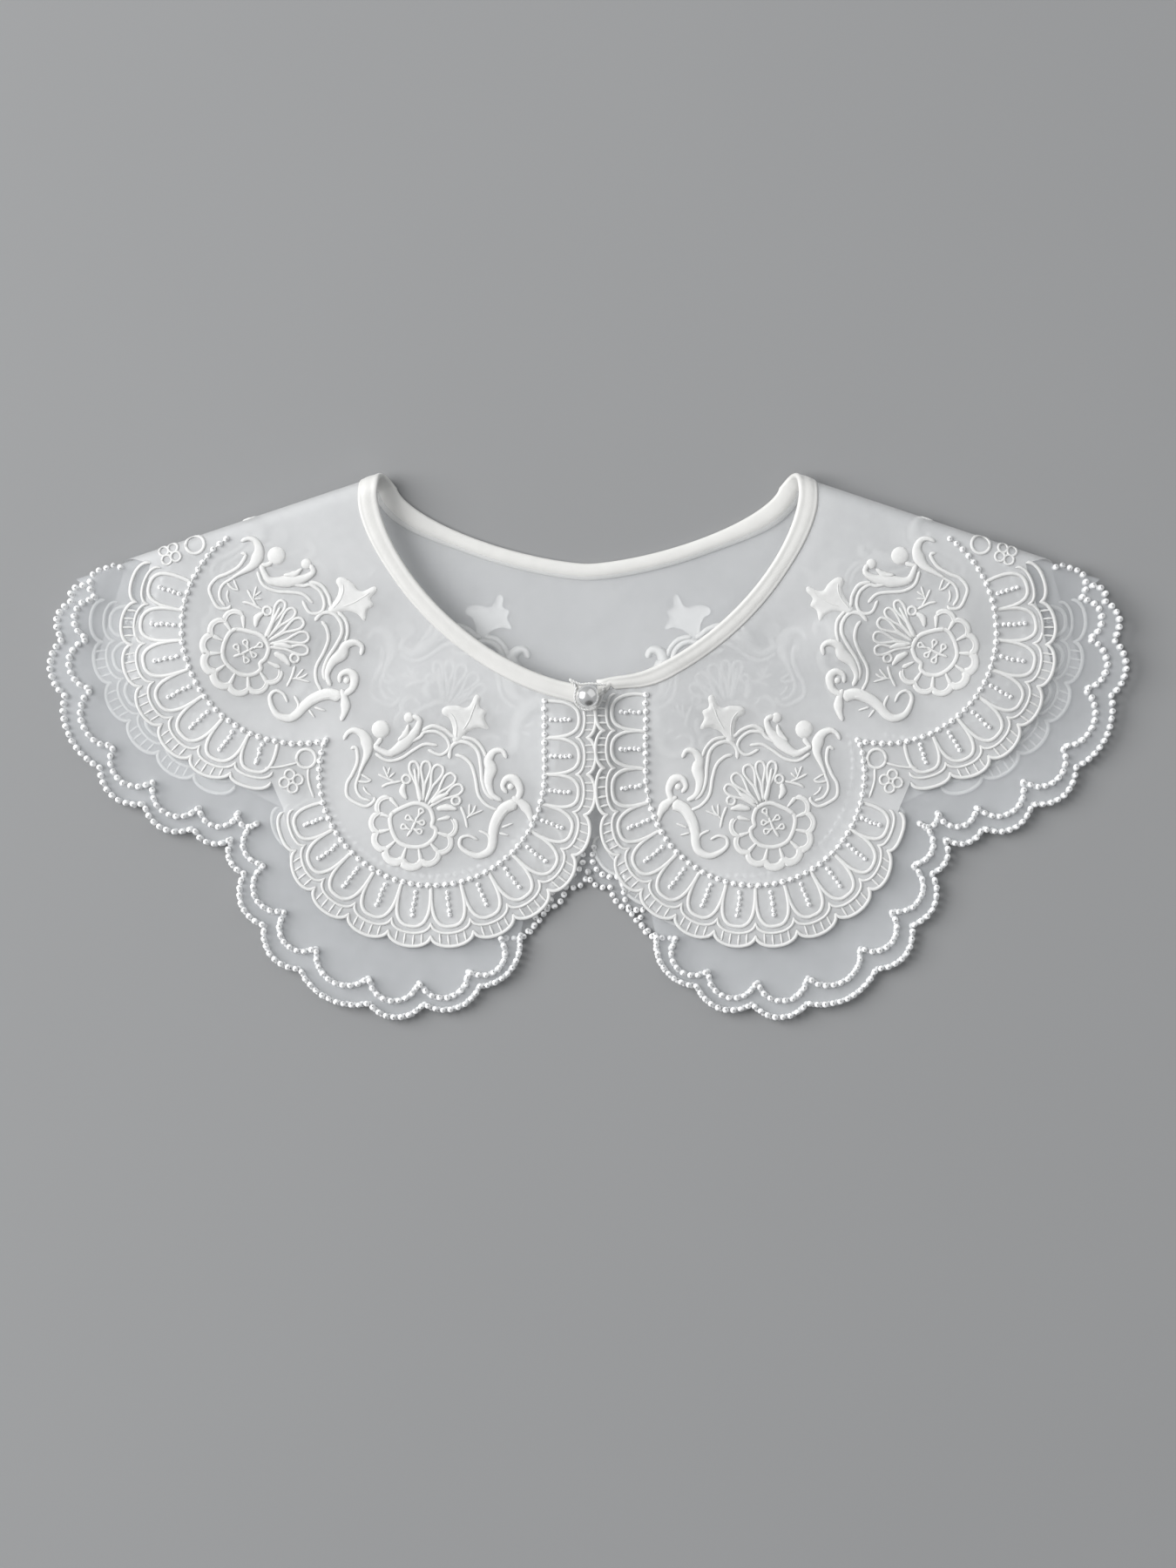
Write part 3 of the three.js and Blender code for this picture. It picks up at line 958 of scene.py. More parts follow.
@dataclass(frozen=True)
class Lobe:
    """One lobe of the upper layer: a bead line on an arc, with arches standing outwards from it.

    Places along it are counted in arches. Negative places are on the straight part above the arc.
    """

    centre: Pair
    radius: float
    start: float
    step: float
    arches: int
    straight_arches: int = 0
    straight_pitch: float = 13.3
    straight_reach: float = 0.82
    narrow_start: float = 1.0
    narrow_end: float = 1.0

    def on_arc(self, place: Array, reach: Amount) -> Array:
        """Plan points at places along the arc and distances from its centre."""
        return np.array(self.centre) + np.asarray(reach)[..., None] * ray(np.radians(self.start + place * self.step))

    def at(self, place: Amount, out: Amount) -> Array:
        """Finds places by the lobe.

        Args:
            place: how far along it, in arches.
            out: distance out from its bead line, before the reach fades.

        Returns:
            Plan points.
        """
        place, out = np.broadcast_arrays(np.asarray(place, float), np.asarray(out, float))
        points = self.on_arc(np.maximum(place, 0), self.radius + out * self.fade(place))
        points[..., 1] += np.maximum(-place, 0) * self.straight_pitch
        return points

    def fade(self, place: Array) -> Array:
        """Shortens the arches on the straight part and towards the lobe's ends.

        Args:
            place: how far along the lobe, in arches.

        Returns:
            Shares of the full reach.
        """
        share = 1 - (1 - self.narrow_end) * smooth(place, self.arches - 2.2, self.arches - 0.4)
        if self.straight_arches:
            return share * (self.straight_reach + (1 - self.straight_reach) * smooth(place, 0, 3))
        return share * (self.narrow_start + (1 - self.narrow_start) * smooth(place, 0.4, 2.2))

    @property
    def counts(self) -> range:
        """Numbers of its arches, the straight ones first."""
        return range(-self.straight_arches, self.arches)


# The lobe next to the middle, then the one at the shoulder
LOBES = {
    Panel.FRONT: (
        Lobe((58.5, -101.8), 40.2, -180.0, 15.05, 11, straight_arches=2, narrow_end=0.8),
        Lobe((106.2, -49.6), 41.0, -80.0, 15.0, 7, narrow_start=0.82, narrow_end=0.9),
    ),
    Panel.BACK: (Lobe((56.0, -98.5), 40.1, -153.6, 15.4, 9), Lobe((118.0, -48.5), 40.1, -80.0, 15.0, 6)),
}


@dataclass(frozen=True)
class ArchShape:
    """One line of an arch: how far out its feet and its crown are, and how square its shoulders."""

    foot: float
    crown: float
    power: float

    def line(self, samples: int) -> tuple[Array, Array]:
        """Shares across the arch from -1 to 1, and the distances out there."""
        turn = np.linspace(math.pi, 0, samples)
        across = np.sign(np.cos(turn)) * np.abs(np.cos(turn)) ** (2 / self.power)
        return across, self.foot + (self.crown - self.foot) * np.abs(np.sin(turn)) ** (2 / self.power)

    def out_at(self, across: float) -> float:
        """Distance out at a share across."""
        return self.foot + (self.crown - self.foot) * (1 - abs(across) ** self.power) ** (1 / self.power)


INNER_ARCH = ArchShape(0.0, 15.2, 2.7)
SECOND_ARCH = ArchShape(13.4, 17.6, 2.2)
OUTER_ARCH = ArchShape(18.0, 22.4, 2.1)
CLOTH_ARCH = ArchShape(17.5, 21.9, 2.1)


def lobe_hem(panel: Panel) -> Array:
    """Draws the upper layer's scalloped edge on one half.

    Args:
        panel: the front or the back panel.

    Returns:
        Plan points from the middle to the fold.
    """
    front = panel is Panel.FRONT
    low, side = LOBES[panel]
    runs = []
    for lobe, other in ((low, side), (side, low)):
        points = []
        if lobe.straight_arches:
            points.append(lobe.at([-lobe.straight_arches], CLOTH_ARCH.foot))
        for arch in lobe.counts:
            across, out = CLOTH_ARCH.line(9)
            points.append(lobe.at(arch + 0.5 + across[:-1] / 2, out[:-1]))
        run = np.vstack(points + [lobe.at([lobe.arches], CLOTH_ARCH.foot)])
        apart = np.linalg.norm(run - np.array(other.centre), axis=1)
        runs.append(run[apart > other.radius + CLOTH_ARCH.foot * 0.84])
    line = np.vstack(runs)
    if not front:
        line[:, 0] = np.maximum(line[:, 0], 0)
        line[0, 0] = 0
    end = PLAN.upper_fold_ends[0 if front else 1]
    along, inside = PLAN.fold_place(line)
    clear_of_fold = ((inside > 0.8) & (along < end - 1.0)) | (line[:, 1] < -60)
    clear_of_neck = (line[:, 1] < -76.5) | (line[:, 0] > 60)
    return np.vstack([line[clear_of_fold & clear_of_neck], PLAN.on_fold(end)[None]])


# Cusps of the lower hem from centre front to the fold, as shares of the half width and drop
LOWER_FRONT_CUSPS = (
    (0.13, 0.87), (0.207, 0.965), (0.313, 1.0), (0.418, 0.998), (0.549, 0.931), (0.617, 0.846), (0.655, 0.744),
    (0.678, 0.675), (0.752, 0.655), (0.846, 0.608), (0.93, 0.536), (0.996, 0.395), (1.0, 0.285), (0.984, 0.212),
)
LOWER_BACK_NOTCH = ((0.0, 0.741), (0.042, 0.77), (0.105, 0.813))
# Cusps of the inner bead row, in the same shares
INNER_FRONT_CUSPS = (
    (0.166, 0.871), (0.228, 0.936), (0.322, 0.958), (0.418, 0.948), (0.518, 0.891), (0.578, 0.819), (0.618, 0.727),
    (0.630, 0.645), (0.666, 0.625), (0.741, 0.615), (0.829, 0.565), (0.904, 0.495), (0.945, 0.383), (0.952, 0.285),
    (0.938, 0.206), (0.889, 0.145),
)
INNER_BACK_NOTCH = ((0.012, 0.692), (0.074, 0.741))


def cusp_line(cusps: Sequence[Sequence[float]], sag: float, steepness: float, fullness: float) -> Array:
    """Draws scallops that bulge outwards between cusps.

    Args:
        cusps: places as shares of the collar's half width and drop.
        sag: the most that a scallop bulges, in millimetres.
        steepness: the same as a share of the scallop's length.
        fullness: 1 for a parabola, less for a fuller round.

    Returns:
        Plan points on one half.
    """
    corners = np.array(cusps) * PLAN.shares
    share = np.linspace(0, 1, 10, endpoint=False)[:, None]
    bulge = (4 * share * (1 - share)) ** fullness
    runs = []
    for a, b in zip(corners, corners[1:]):
        chord = b - a
        runs.append(a + chord * share - left_of(unit(chord)) * min(sag, steepness * np.linalg.norm(chord)) * bulge)
    return np.vstack(runs + [corners[-1:]])


def hem_line(panel: Panel) -> Array:
    """The lower layer's scalloped hem on one half, from the middle to the fold's tip."""
    cusps = LOWER_FRONT_CUSPS if panel is Panel.FRONT else LOWER_BACK_NOTCH + LOWER_FRONT_CUSPS
    return cusp_line([*cusps, PLAN.on_fold(PLAN.cloth_fold_end) / PLAN.shares], 5.0, 0.26, 0.9)


# Organza layers


@dataclass(frozen=True)
class OrganzaLayer:
    """One folded layer as a single sheet from one centre-front edge round both folds to the other."""

    name: str
    replaced: str
    level: float
    hems: dict[Panel, Array]
    fold_ends: Pair
    neck_start: float
    flat: Pair
    cut_area: float
    fold_sag: float
    skewed: bool
    settled: float = 0.0
    seam_inset: float = 2.2
    cell: float = 3.0
    fold_steps: int = 12

    def fold_line(self, panel: Panel) -> Array:
        """Distances along the fold where the panel's edge points stand, from the neck out."""
        front = panel is Panel.FRONT
        start = self.seam_inset - (0 if front else PLAN.neck_turn)
        return np.linspace(start, self.fold_ends[0 if front else 1], int(PLAN.shoulder_length / self.cell))

    def outline(self, panel: Panel) -> Array:
        """Draws the panel's outline on one half.

        Args:
            panel: the front or the back panel.

        Returns:
            Plan points of the neckline, fold, hem and middle.
        """
        front, hem = panel is Panel.FRONT, self.hems[panel]
        neck = FRONT_NECK if front else BACK_NECK
        start = self.neck_start / neck.length if front else 0.0
        neckline = neck.at(np.linspace(start, 1, int(neck.length / self.cell)), self.seam_inset)
        if not front:
            neckline[0, 0] = 0
        fold = PLAN.on_fold(self.fold_line(panel))
        middle = spaced(np.vstack([hem[:1], neckline[:1]]), self.cell)
        return np.vstack([neckline[:-1], fold[:-1], hem[::-1], middle[1:-1]])

    def settle(self, points: Array) -> Array:
        """How far the layer's back comes down where the other layer doesn't lie under it.

        Args:
            points: plan points of the back, in millimetres.

        Returns:
            Heights in millimetres, none under the lobes and next to the fold.
        """
        low, side = (np.array(lobe.centre) for lobe in LOBES[Panel.BACK])
        beyond = [np.linalg.norm(points - np.array(lobe.centre), axis=-1) - lobe.radius for lobe in LOBES[Panel.BACK]]
        _, inside = PLAN.fold_place(points)
        towards_hem = (points - low) @ -left_of(unit(side - low))
        free = smooth(np.minimum(*beyond), 21, 30) * smooth(towards_hem, -25, -10)
        return self.settled * free * smooth(inside, 0, 30)

    def turn_over(self, maker: MeshMaker, side: Side) -> None:
        """Adds the strip of cloth that turns round one shoulder fold.

        Args:
            maker: the mesh that it joins.
            side: which half of the collar.
        """
        front, back = self.fold_line(Panel.FRONT), self.fold_line(Panel.BACK)
        bulge = self.fold_sag * np.linspace(0, 1, len(front)) ** 4
        strip = []
        for share in np.linspace(0, 1, self.fold_steps + 1):
            along = front + (back - front) * share + bulge * math.sin(share * math.pi)
            strip.append(PLAN.round_fold(along, share * math.pi, self.level, side))
        strip = np.array(strip)
        maker.grid(strip, strip[..., :2] / MM)

    def build(self, material: Material) -> Piece:
        """Makes the sheet, which replaces the CAD layer.

        Args:
            material: its finish.

        Returns:
            The piece.
        """
        maker = MeshMaker()
        for panel in Panel:
            points, faces = filled(self.outline(panel), self.cell)
            level = self.level + (self.settle(points) if panel is Panel.BACK else 0.0)
            for side in Side:
                maker.triangles(PLAN.seat(points, level, panel, side, self.skewed), points, faces)
        for side in Side:
            self.turn_over(maker, side)
        piece = maker.build(self.name, material, "organza", self.replaced, weld=True)
        log.info("%s: cloth area %.4f m2", self.name, sum(polygon.area for polygon in piece.data.polygons))
        return piece


# Embroidery


@dataclass(frozen=True)
class ArchEdging:
    """Buttonhole arches, the ladder outside them, and the ring and flower where two lobes meet."""

    shapes: tuple[tuple[ArchShape, float], ...] = ((INNER_ARCH, 1.45), (SECOND_ARCH, 1.1), (OUTER_ARCH, 1.35))
    rung_width: float = 0.95
    height: float = 0.5
    rungs: tuple[float, ...] = (-0.58, -0.2, 0.2, 0.58)
    ring_radius: float = 3.4
    ring_width: float = 1.3
    petal_radius: float = 1.75
    petal_reach: float = 2.45
    petal_width: float = 1.0
    links: tuple[tuple[Pair, ...], ...] = (
        ((118.0, -99.4), (112.5, -99.0), (106.6, -97.6)),
        ((102.6, -99.4), (102.4, -104.5), (100.6, -110.2)),
    )
    # A ring and a flower for each joint: between the lobes, and at the fold
    spots: tuple[tuple[Pair, Pair], ...] = (((103.3, -96.0), (108.6, -104.2)), ((141.9, -18.6), (151.0, -22.0)))

    def arch(self, maker: MeshMaker, ground: Ground, lobe: Lobe, index: int) -> None:
        """Sews one arch with its ladder.

        Args:
            maker: the mesh that it joins.
            ground: the cloth that it lies on.
            lobe: the lobe that it stands on.
            index: its number along the lobe.
        """
        for shape, width in self.shapes:
            across, out = shape.line(25)
            sew(maker, ground, spaced(lobe.at(index + 0.5 + across / 2, out), 1.1), (width,), self.height)
        if (index == 0 and not lobe.straight_arches) or index >= lobe.arches - 1:
            return
        for rung in self.rungs:
            out = np.linspace(SECOND_ARCH.out_at(rung), OUTER_ARCH.out_at(rung), 3)
            sew(maker, ground, lobe.at(index + 0.5 + rung / 2, out), (self.rung_width,), self.height * 0.8)

    def joint(self, maker: MeshMaker, ground: Ground, ring: Pair, flower: Pair) -> None:
        """Sews the ring and the four-petalled flower between two lobes.

        Args:
            maker: the mesh that they join.
            ground: the cloth that they lie on.
            ring: the ring's centre.
            flower: the flower's centre.
        """
        ring, flower, round_line = np.array(ring), np.array(flower), circle(20)
        sew(maker, ground, ring + round_line * self.ring_radius, (self.ring_width,), self.height, closed=True)
        away = flower - ring
        for petal in range(4):
            axis = ray(math.atan2(away[1], away[0]) + math.pi / 4 + petal * math.pi / 2)
            leaf = flower + axis * self.petal_reach + round_line * self.petal_radius
            sew(maker, ground, leaf, (self.petal_width,), self.height, closed=True)

    def build(self, maker: MeshMaker, ground: Ground) -> None:
        """Sews the edging of one half panel.

        Args:
            maker: the mesh that it joins.
            ground: the cloth that it lies on.
        """
        for lobe in LOBES[ground.panel]:
            for index in lobe.counts:
                self.arch(maker, ground, lobe, index)
        for ring, flower in self.spots if ground.panel is Panel.FRONT else self.spots[:1]:
            self.joint(maker, ground, ring, flower)
        for link_line in self.links:
            sew(maker, ground, curved(link_line, 1.0), (self.petal_width,), self.height)


@dataclass(frozen=True)
class BeadLines:
    """The upper layer's bead lines and the short drop of beads inside each arch."""

    radius: float = 1.12
    pitch: float = 3.05
    drop: tuple[float, ...] = (2.9, 5.0, 7.1, 9.2, 11.0)
    drop_share: float = 0.78
    line_slip: float = 0.05
    drop_slip: float = 0.12
    thread_height: float = 0.3
    seed: int = 5

    def build(self, maker: MeshMaker, thread: MeshMaker, ground: Ground) -> None:
        """Sews the bead lines of one half panel.

        Args:
            maker: the mesh that the beads join.
            thread: the mesh that their thread joins.
            ground: the cloth that they lie on.
        """
        rng = np.random.default_rng(self.seed + ground.side.value)
        for lobe in LOBES[ground.panel]:
            first, last = -lobe.straight_arches, lobe.arches + 2.0
            if lobe is LOBES[ground.panel][1]:
                first, last = -1.6, lobe.arches + 1.9
            along = np.linspace(first, last, 240)
            path = lobe.at(along, 0.0) if lobe.straight_arches else lobe.on_arc(along, lobe.radius)
            places = spaced(path, self.pitch)
            string_beads(maker, ground, places + rng.normal(0, self.line_slip, places.shape), self.radius, rng)
            sew(thread, ground, spaced(path, 1.6), (0.5,), self.thread_height)
            for index in lobe.counts:
                drop = lobe.at(index + 0.5, self.drop)
                slip = rng.normal(0, self.drop_slip, drop.shape)
                string_beads(maker, ground, drop + slip, self.radius * self.drop_share, rng)
                sew(thread, ground, spaced(drop, 1.2), (0.6,), self.thread_height)


@dataclass(frozen=True)
class HemBeads:
    """The two bead rows of the lower hem."""

    radius: float = 1.15
    pitch: float = 2.85
    slip: float = 0.06
    seed: int = 11

    def build(self, maker: MeshMaker, ground: Ground) -> None:
        """Sews the outer and the inner row of one half panel.

        Args:
            maker: the mesh that they join.
            ground: the cloth that they lie on.
        """
        front = ground.panel is Panel.FRONT
        rng = np.random.default_rng(self.seed + ground.side.value + (0 if front else 2))
        inner = INNER_FRONT_CUSPS if front else INNER_BACK_NOTCH + INNER_FRONT_CUSPS
        for row in (hem_line(ground.panel), cusp_line(inner, 7.6, 0.42, 0.65)):
            places = spaced(row, self.pitch)
            string_beads(maker, ground, places + rng.normal(0, self.slip, places.shape), self.radius, rng)


class Stitch(Enum):
    """How one stroke of the motif is worked."""

    LINE = "line"
    SATIN = "satin"
    LOOP = "loop"
    PETAL = "petal"
    RING = "ring"
    KNOT = "knot"
    PATCH = "patch"
    VEIN = "vein"


class Stroke(NamedTuple):
    """One stroke: its stitch, widths at the start, middle and end in millimetres, and places on the grid."""

    stitch: Stitch
    start: float
    middle: float
    end: float
    places: Array


def read_strokes(table: str) -> list[Stroke]:
    """Reads a table with a stroke to a line.

    Args:
        table: the stitch, then the widths, then after a colon the places.

    Returns:
        The strokes in order.
    """
    strokes = []
    for row in table.strip().splitlines():
        head, places = row.split(":")
        stitch, *widths = head.split()
        points = np.array([[float(number) for number in place.split(",")] for place in places.split()])
        strokes.append(Stroke(Stitch(stitch), *map(float, widths), points))
    return strokes


# The motif on a grid of just over two steps to the millimetre, with the fleur at the top right. Columns:
# stitch, widths at the start, middle and end, places. A middle width of 0 is the mean of the other two. A
# petal has its breadth and its cord in these columns, a ring its radius and cord, a knot its radius and
# height, and a patch its height.
MOTIF = read_strokes("""
loop 1.3 0 1.3: 45,100 44,109 48,119 54,123.5 62,125 70,123.5 76,118 77.5,112 74.5,109 75.5,104 73.5,97 70,94 64,92 \
57,93.5
line 0.9 0 0.8: 56,117 60,111 64,102
petal 1.9 0 0.7: 59,112 52,109
petal 1.9 0 0.7: 60,111 67,114
petal 1.8 0 0.7: 62,106 55.5,102
petal 1.8 0 0.7: 62,106 69,107
petal 1.8 0 0.7: 64,103 67.5,96.5
petal 3.4 0 0.9: 66,91 61,61
petal 3.4 0 0.85: 68,90 71,61
petal 4.0 0 0.9: 70,91 81,64
petal 4.0 0 0.85: 72,93 91,71
petal 3.6 0 0.85: 73,95 97,80
satin 1.6 0 0.9: 66.5,90 63.5,76 62,66
satin 1.4 1.9 1.0: 74,92 80,88 87,85
satin 1.5 2.2 1.2: 78,96.5 86,95.5 93,97
satin 1.4 2.1 1.2: 54.5,77 53,83 56,89
ring 1.5 0 0.85: 56,74
ring 1.5 0 0.85: 92.5,90.5
line 0.9 0 0.8: 37.5,80 42,77.5 52,75.5
line 0.8 0 0.7: 35,70 41,73 48,76
line 0.7 0 0.6: 39,64 41,69 43,74
line 0.7 0 0.6: 44,65 42,71
line 0.7 0 0.6: 47.5,69 43,73
line 0.8 0 0.7: 20,75 26,76 30,74.5
line 0.7 0 0.6: 22.5,70 30,74.5
line 0.7 0 0.6: 24,79 26,83 30,86
line 0.9 0 0.8: 96,95 99,103 100.5,111
line 0.7 0 0.6: 102.5,93 102,102
line 0.7 0 0.6: 107,94 105,99 100,104
line 0.7 0 0.6: 101,102.5 112,98
line 1.1 0 1.0: 15,51 19,50 20,60 16,70 12,77 12,86 18,91 26,94 32,90 32,87
line 0.9 0 0.9: 22,68 18.5,79 22,87 29,90
satin 1.2 3.6 1.0: 10,44 13,39 18,37 24,40 27,46 27.5,54 23.5,64 21,70
knot 3.3 0 0.7: 37.5,36.5
line 1.5 0 1.2: 38,43 35,47 32,50
satin 1.5 3.7 1.5: 32,49 37,52 43,54.5 49,52 56,46 62,40 65,35 66,29.5 61,26.5
knot 1.9 0 0.6: 58.5,28
satin 1.0 2.2 1.0: 50,45 56,40 58,33
line 1.0 0 1.0: 33,54.5 42,60 52,58.5 62,52 70,48 79,49
line 1.1 0 1.0: 44,57 56,48 66,43 70,39 79,39 86,44 88,50 85,54.5 80,56 72,52
line 1.2 0 1.1: 68,38 76,34.5 85,37.5 90,42 94,43
patch 0.55 0 0.0: 83,22 87,19.5 94.5,19.4 99.4,21 103.5,19 107.6,11.5 111,13.5 110.5,20.5 115.5,23.8 113.8,29 117,37 \
109.5,36 102,38.6 98.2,42.8 95,47 90.5,46 90.5,36 88,28.6 83.5,26
vein 0.75 0 0.6: 93,44 93.5,35 91.5,28 87.5,23.5
vein 0.75 0 0.6: 98,38 103,30 108,17
line 1.2 0 1.1: 88,59 89,51 95,46.5 103,48 109,54 111,64 112,76 115,85 120,90
line 1.1 0 1.0: 97,43 106,45 112,51 115,58
line 1.1 0 1.0: 92,56 98,58 104,64 107,74 109,86 115,94 123,98
satin 1.3 3.6 1.4: 130,59 127,53.5 121,54 117,60 118.5,67 116.5,76 119,86 126,91
satin 1.3 2.7 1.8: 130,85 127,80 130,74.5 136,75 140,83 137,92
knot 1.2 0 0.55: 133,80.5
satin 1.6 3.0 1.4: 134,88 142,94 146,100 148,107
satin 3.4 2.4 0.9: 137,93 128,97 122,106 119.5,115 119,123 116,129 108,132 100,129 95,124 96,118.5 102,117 108,120
satin 1.0 2.2 0.8: 131,97 125,103 121,112
line 0.9 0 0.8: 109,113 115,116 117,120 116,126
line 0.8 0 0.6: 126,111 134,108
line 0.8 0 0.6: 124,115 131,117
""")

# A petal's outline: shares along its axis, and across it as shares of its half breadth
PETAL_OUTLINE = (
    (0.0, 0.0), (0.4, 0.14), (0.6, 0.6), (0.82, 1.0), (0.97, 0.65), (1.0, 0.0),
    (0.97, -0.65), (0.82, -1.0), (0.6, -0.6), (0.4, -0.14),
)
# A knot's section: shares of its radius, and shares of its height there
KNOT_SECTION = ((0.02, 1.0), (0.35, 0.95), (0.7, 0.7), (0.92, 0.35), (1.0, 0.0))


@dataclass(frozen=True)
class ScrollMotif:
    """The scroll, shell and fleur motif that stands in every lobe."""

    grid_steps: float = 2.07
    origin: Pair = (61.0, 108.5)
    lean: float = math.radians(27.0)
    line_height: float = 0.42
    satin_height: float = 0.62
    vein_height: float = 0.68
    gain: float = 1.32
    back_gain: float = 1.9
    pitch: float = 0.8
    patch_cell: float = 0.9
    frill_cells: int = 8
    frill_ends: Pair = (130.0, 372.0)
    frill_radii: Pair = (17.5, 27.5)
    frill_swell: float = 4.2
    frill_inset: float = 1.5
    frill_pitch: float = 0.9

    def upright(self, grid: Array) -> Array:
        """Grid points as millimetres across and up the motif's own axis."""
        flat = (grid - np.array(self.origin)) / self.grid_steps * np.array([1, -1])
        cos, sin = math.cos(self.lean), math.sin(self.lean)
        return np.stack([flat[:, 0] * cos - flat[:, 1] * sin, flat[:, 0] * sin + flat[:, 1] * cos], -1)

    def outline(self, stroke: Stroke) -> Array:
        """Draws the line that a stroke follows.

        Args:
            stroke: the stroke.

        Returns:
            Points in millimetres on the motif's own axis.
        """
        points = self.upright(stroke.places)
        if stroke.stitch is Stitch.RING:
            return points[0] + circle(14) * stroke.start
        if stroke.stitch is Stitch.PETAL:
            base, tip = points
            across = left_of(unit(tip - base)) * stroke.start / 2
            return np.array([base + (tip - base) * along + across * out for along, out in PETAL_OUTLINE])
        return points

    def widths(self, stroke: Stroke, ground: Ground) -> tuple[float, ...]:
        """Finds the widths of a stroke's thread, which are larger on the back, where it shines through.

        Args:
            stroke: the stroke.
            ground: the cloth that it lies on.

        Returns:
            Widths in millimetres from its start to its end.
        """
        if stroke.stitch in (Stitch.RING, Stitch.PETAL):
            widths = (stroke.end,)
        else:
            widths = (stroke.start, stroke.middle or (stroke.start + stroke.end) / 2, stroke.end)
        gain = self.gain if ground.panel is Panel.FRONT else self.back_gain
        return tuple(width * gain for width in widths)

    def build(self, maker: MeshMaker, ground: Ground, centre: Pair, turn: float) -> None:
        """Sews the whole motif.

        Args:
            maker: the mesh that it joins.
            ground: the cloth that it lies on.
            centre: the medallion's centre on one half, in millimetres.
            turn: how far the motif's axis leans towards the middle, in radians.
        """
        axes = np.array([-ray(turn), left_of(ray(turn))])
        heights = {Stitch.SATIN: self.satin_height, Stitch.VEIN: self.vein_height}
        for line, widths in self.frill():
            sew(maker, ground, spaced(np.array(centre) + line @ axes, self.frill_pitch), widths, self.line_height)
        for stroke in MOTIF:
            line = np.array(centre) + self.outline(stroke) @ axes
            closed = stroke.stitch in (Stitch.LOOP, Stitch.RING, Stitch.PETAL, Stitch.PATCH)
            if stroke.stitch is Stitch.KNOT:
                self.knot(maker, ground, line[0], stroke.start, stroke.end)
            elif stroke.stitch is Stitch.PATCH:
                self.patch(maker, ground, curved(line, self.pitch, closed), stroke.start)
            elif stroke.stitch is not Stitch.VEIN or ground.panel is Panel.FRONT:
                height = heights.get(stroke.stitch, self.line_height)
                sew(maker, ground, curved(line, self.pitch, closed), self.widths(stroke, ground), height, closed)

    def frill(self) -> list[tuple[Array, tuple[float, ...]]]:
        """Draws the frill of round cells about the medallion.

        Returns:
            Its lines on the motif's own axis, with their widths.
        """
        edges = np.linspace(*self.frill_ends, self.frill_cells + 1)
        inner, outer = self.frill_radii
        share = np.linspace(0, 1, 10, endpoint=False)
        lines = []
        for inset, fullness, widths in ((0, 0.6, (1.6, 3.5, 1.6)), (self.frill_inset, 0.8, (0.9, 1.2, 0.9))):
            radius = outer - inset + self.frill_swell * np.sin(math.pi * share) ** fullness
            cells = [self.around(radius, a + (b - a) * share) for a, b in zip(edges, edges[1:])]
            lines.append((np.vstack(cells), widths))
        return lines + [(self.around(np.linspace(inner, outer, 4), edge), (1.0, 1.9)) for edge in edges]

    def around(self, radius: Array, degrees: Amount) -> Array:
        """Points about the medallion on the motif's own axis, at radii in grid steps."""
        return self.upright(np.array(self.origin) + radius[:, None] * ray(-np.radians(degrees)))

    def patch(self, maker: MeshMaker, ground: Ground, outline: Array, height: float) -> None:
        """Sews a filled satin patch with soft edges.

        Args:
            maker: the mesh that it joins.
            ground: the cloth that it lies on.
            outline: plan points of its closed line.
            height: how far it stands up.
        """
        points, faces = filled(outline, self.patch_cell)
        rise = height * smooth(edge_distance(points, outline), -0.2, 0.8)
        maker.triangles(ground.seat(points, rise), points, faces)

    def knot(self, maker: MeshMaker, ground: Ground, centre: Array, radius: float, height: float) -> None:
        """Sews a round padded knot.

        Args:
            maker: the mesh that it joins.
            ground: the cloth that it lies on.
            centre: its place.
            radius: how wide it is.
            height: how far it stands up.
        """
        shares, heights = np.array(KNOT_SECTION).T
        points = centre + circle(16) * (shares * radius)[:, None, None]
        rise = np.repeat((heights * height)[:, None], points.shape[1], 1)
        maker.grid(ground.seat(points, rise), points, close_across=True)


# Binding, button and loop


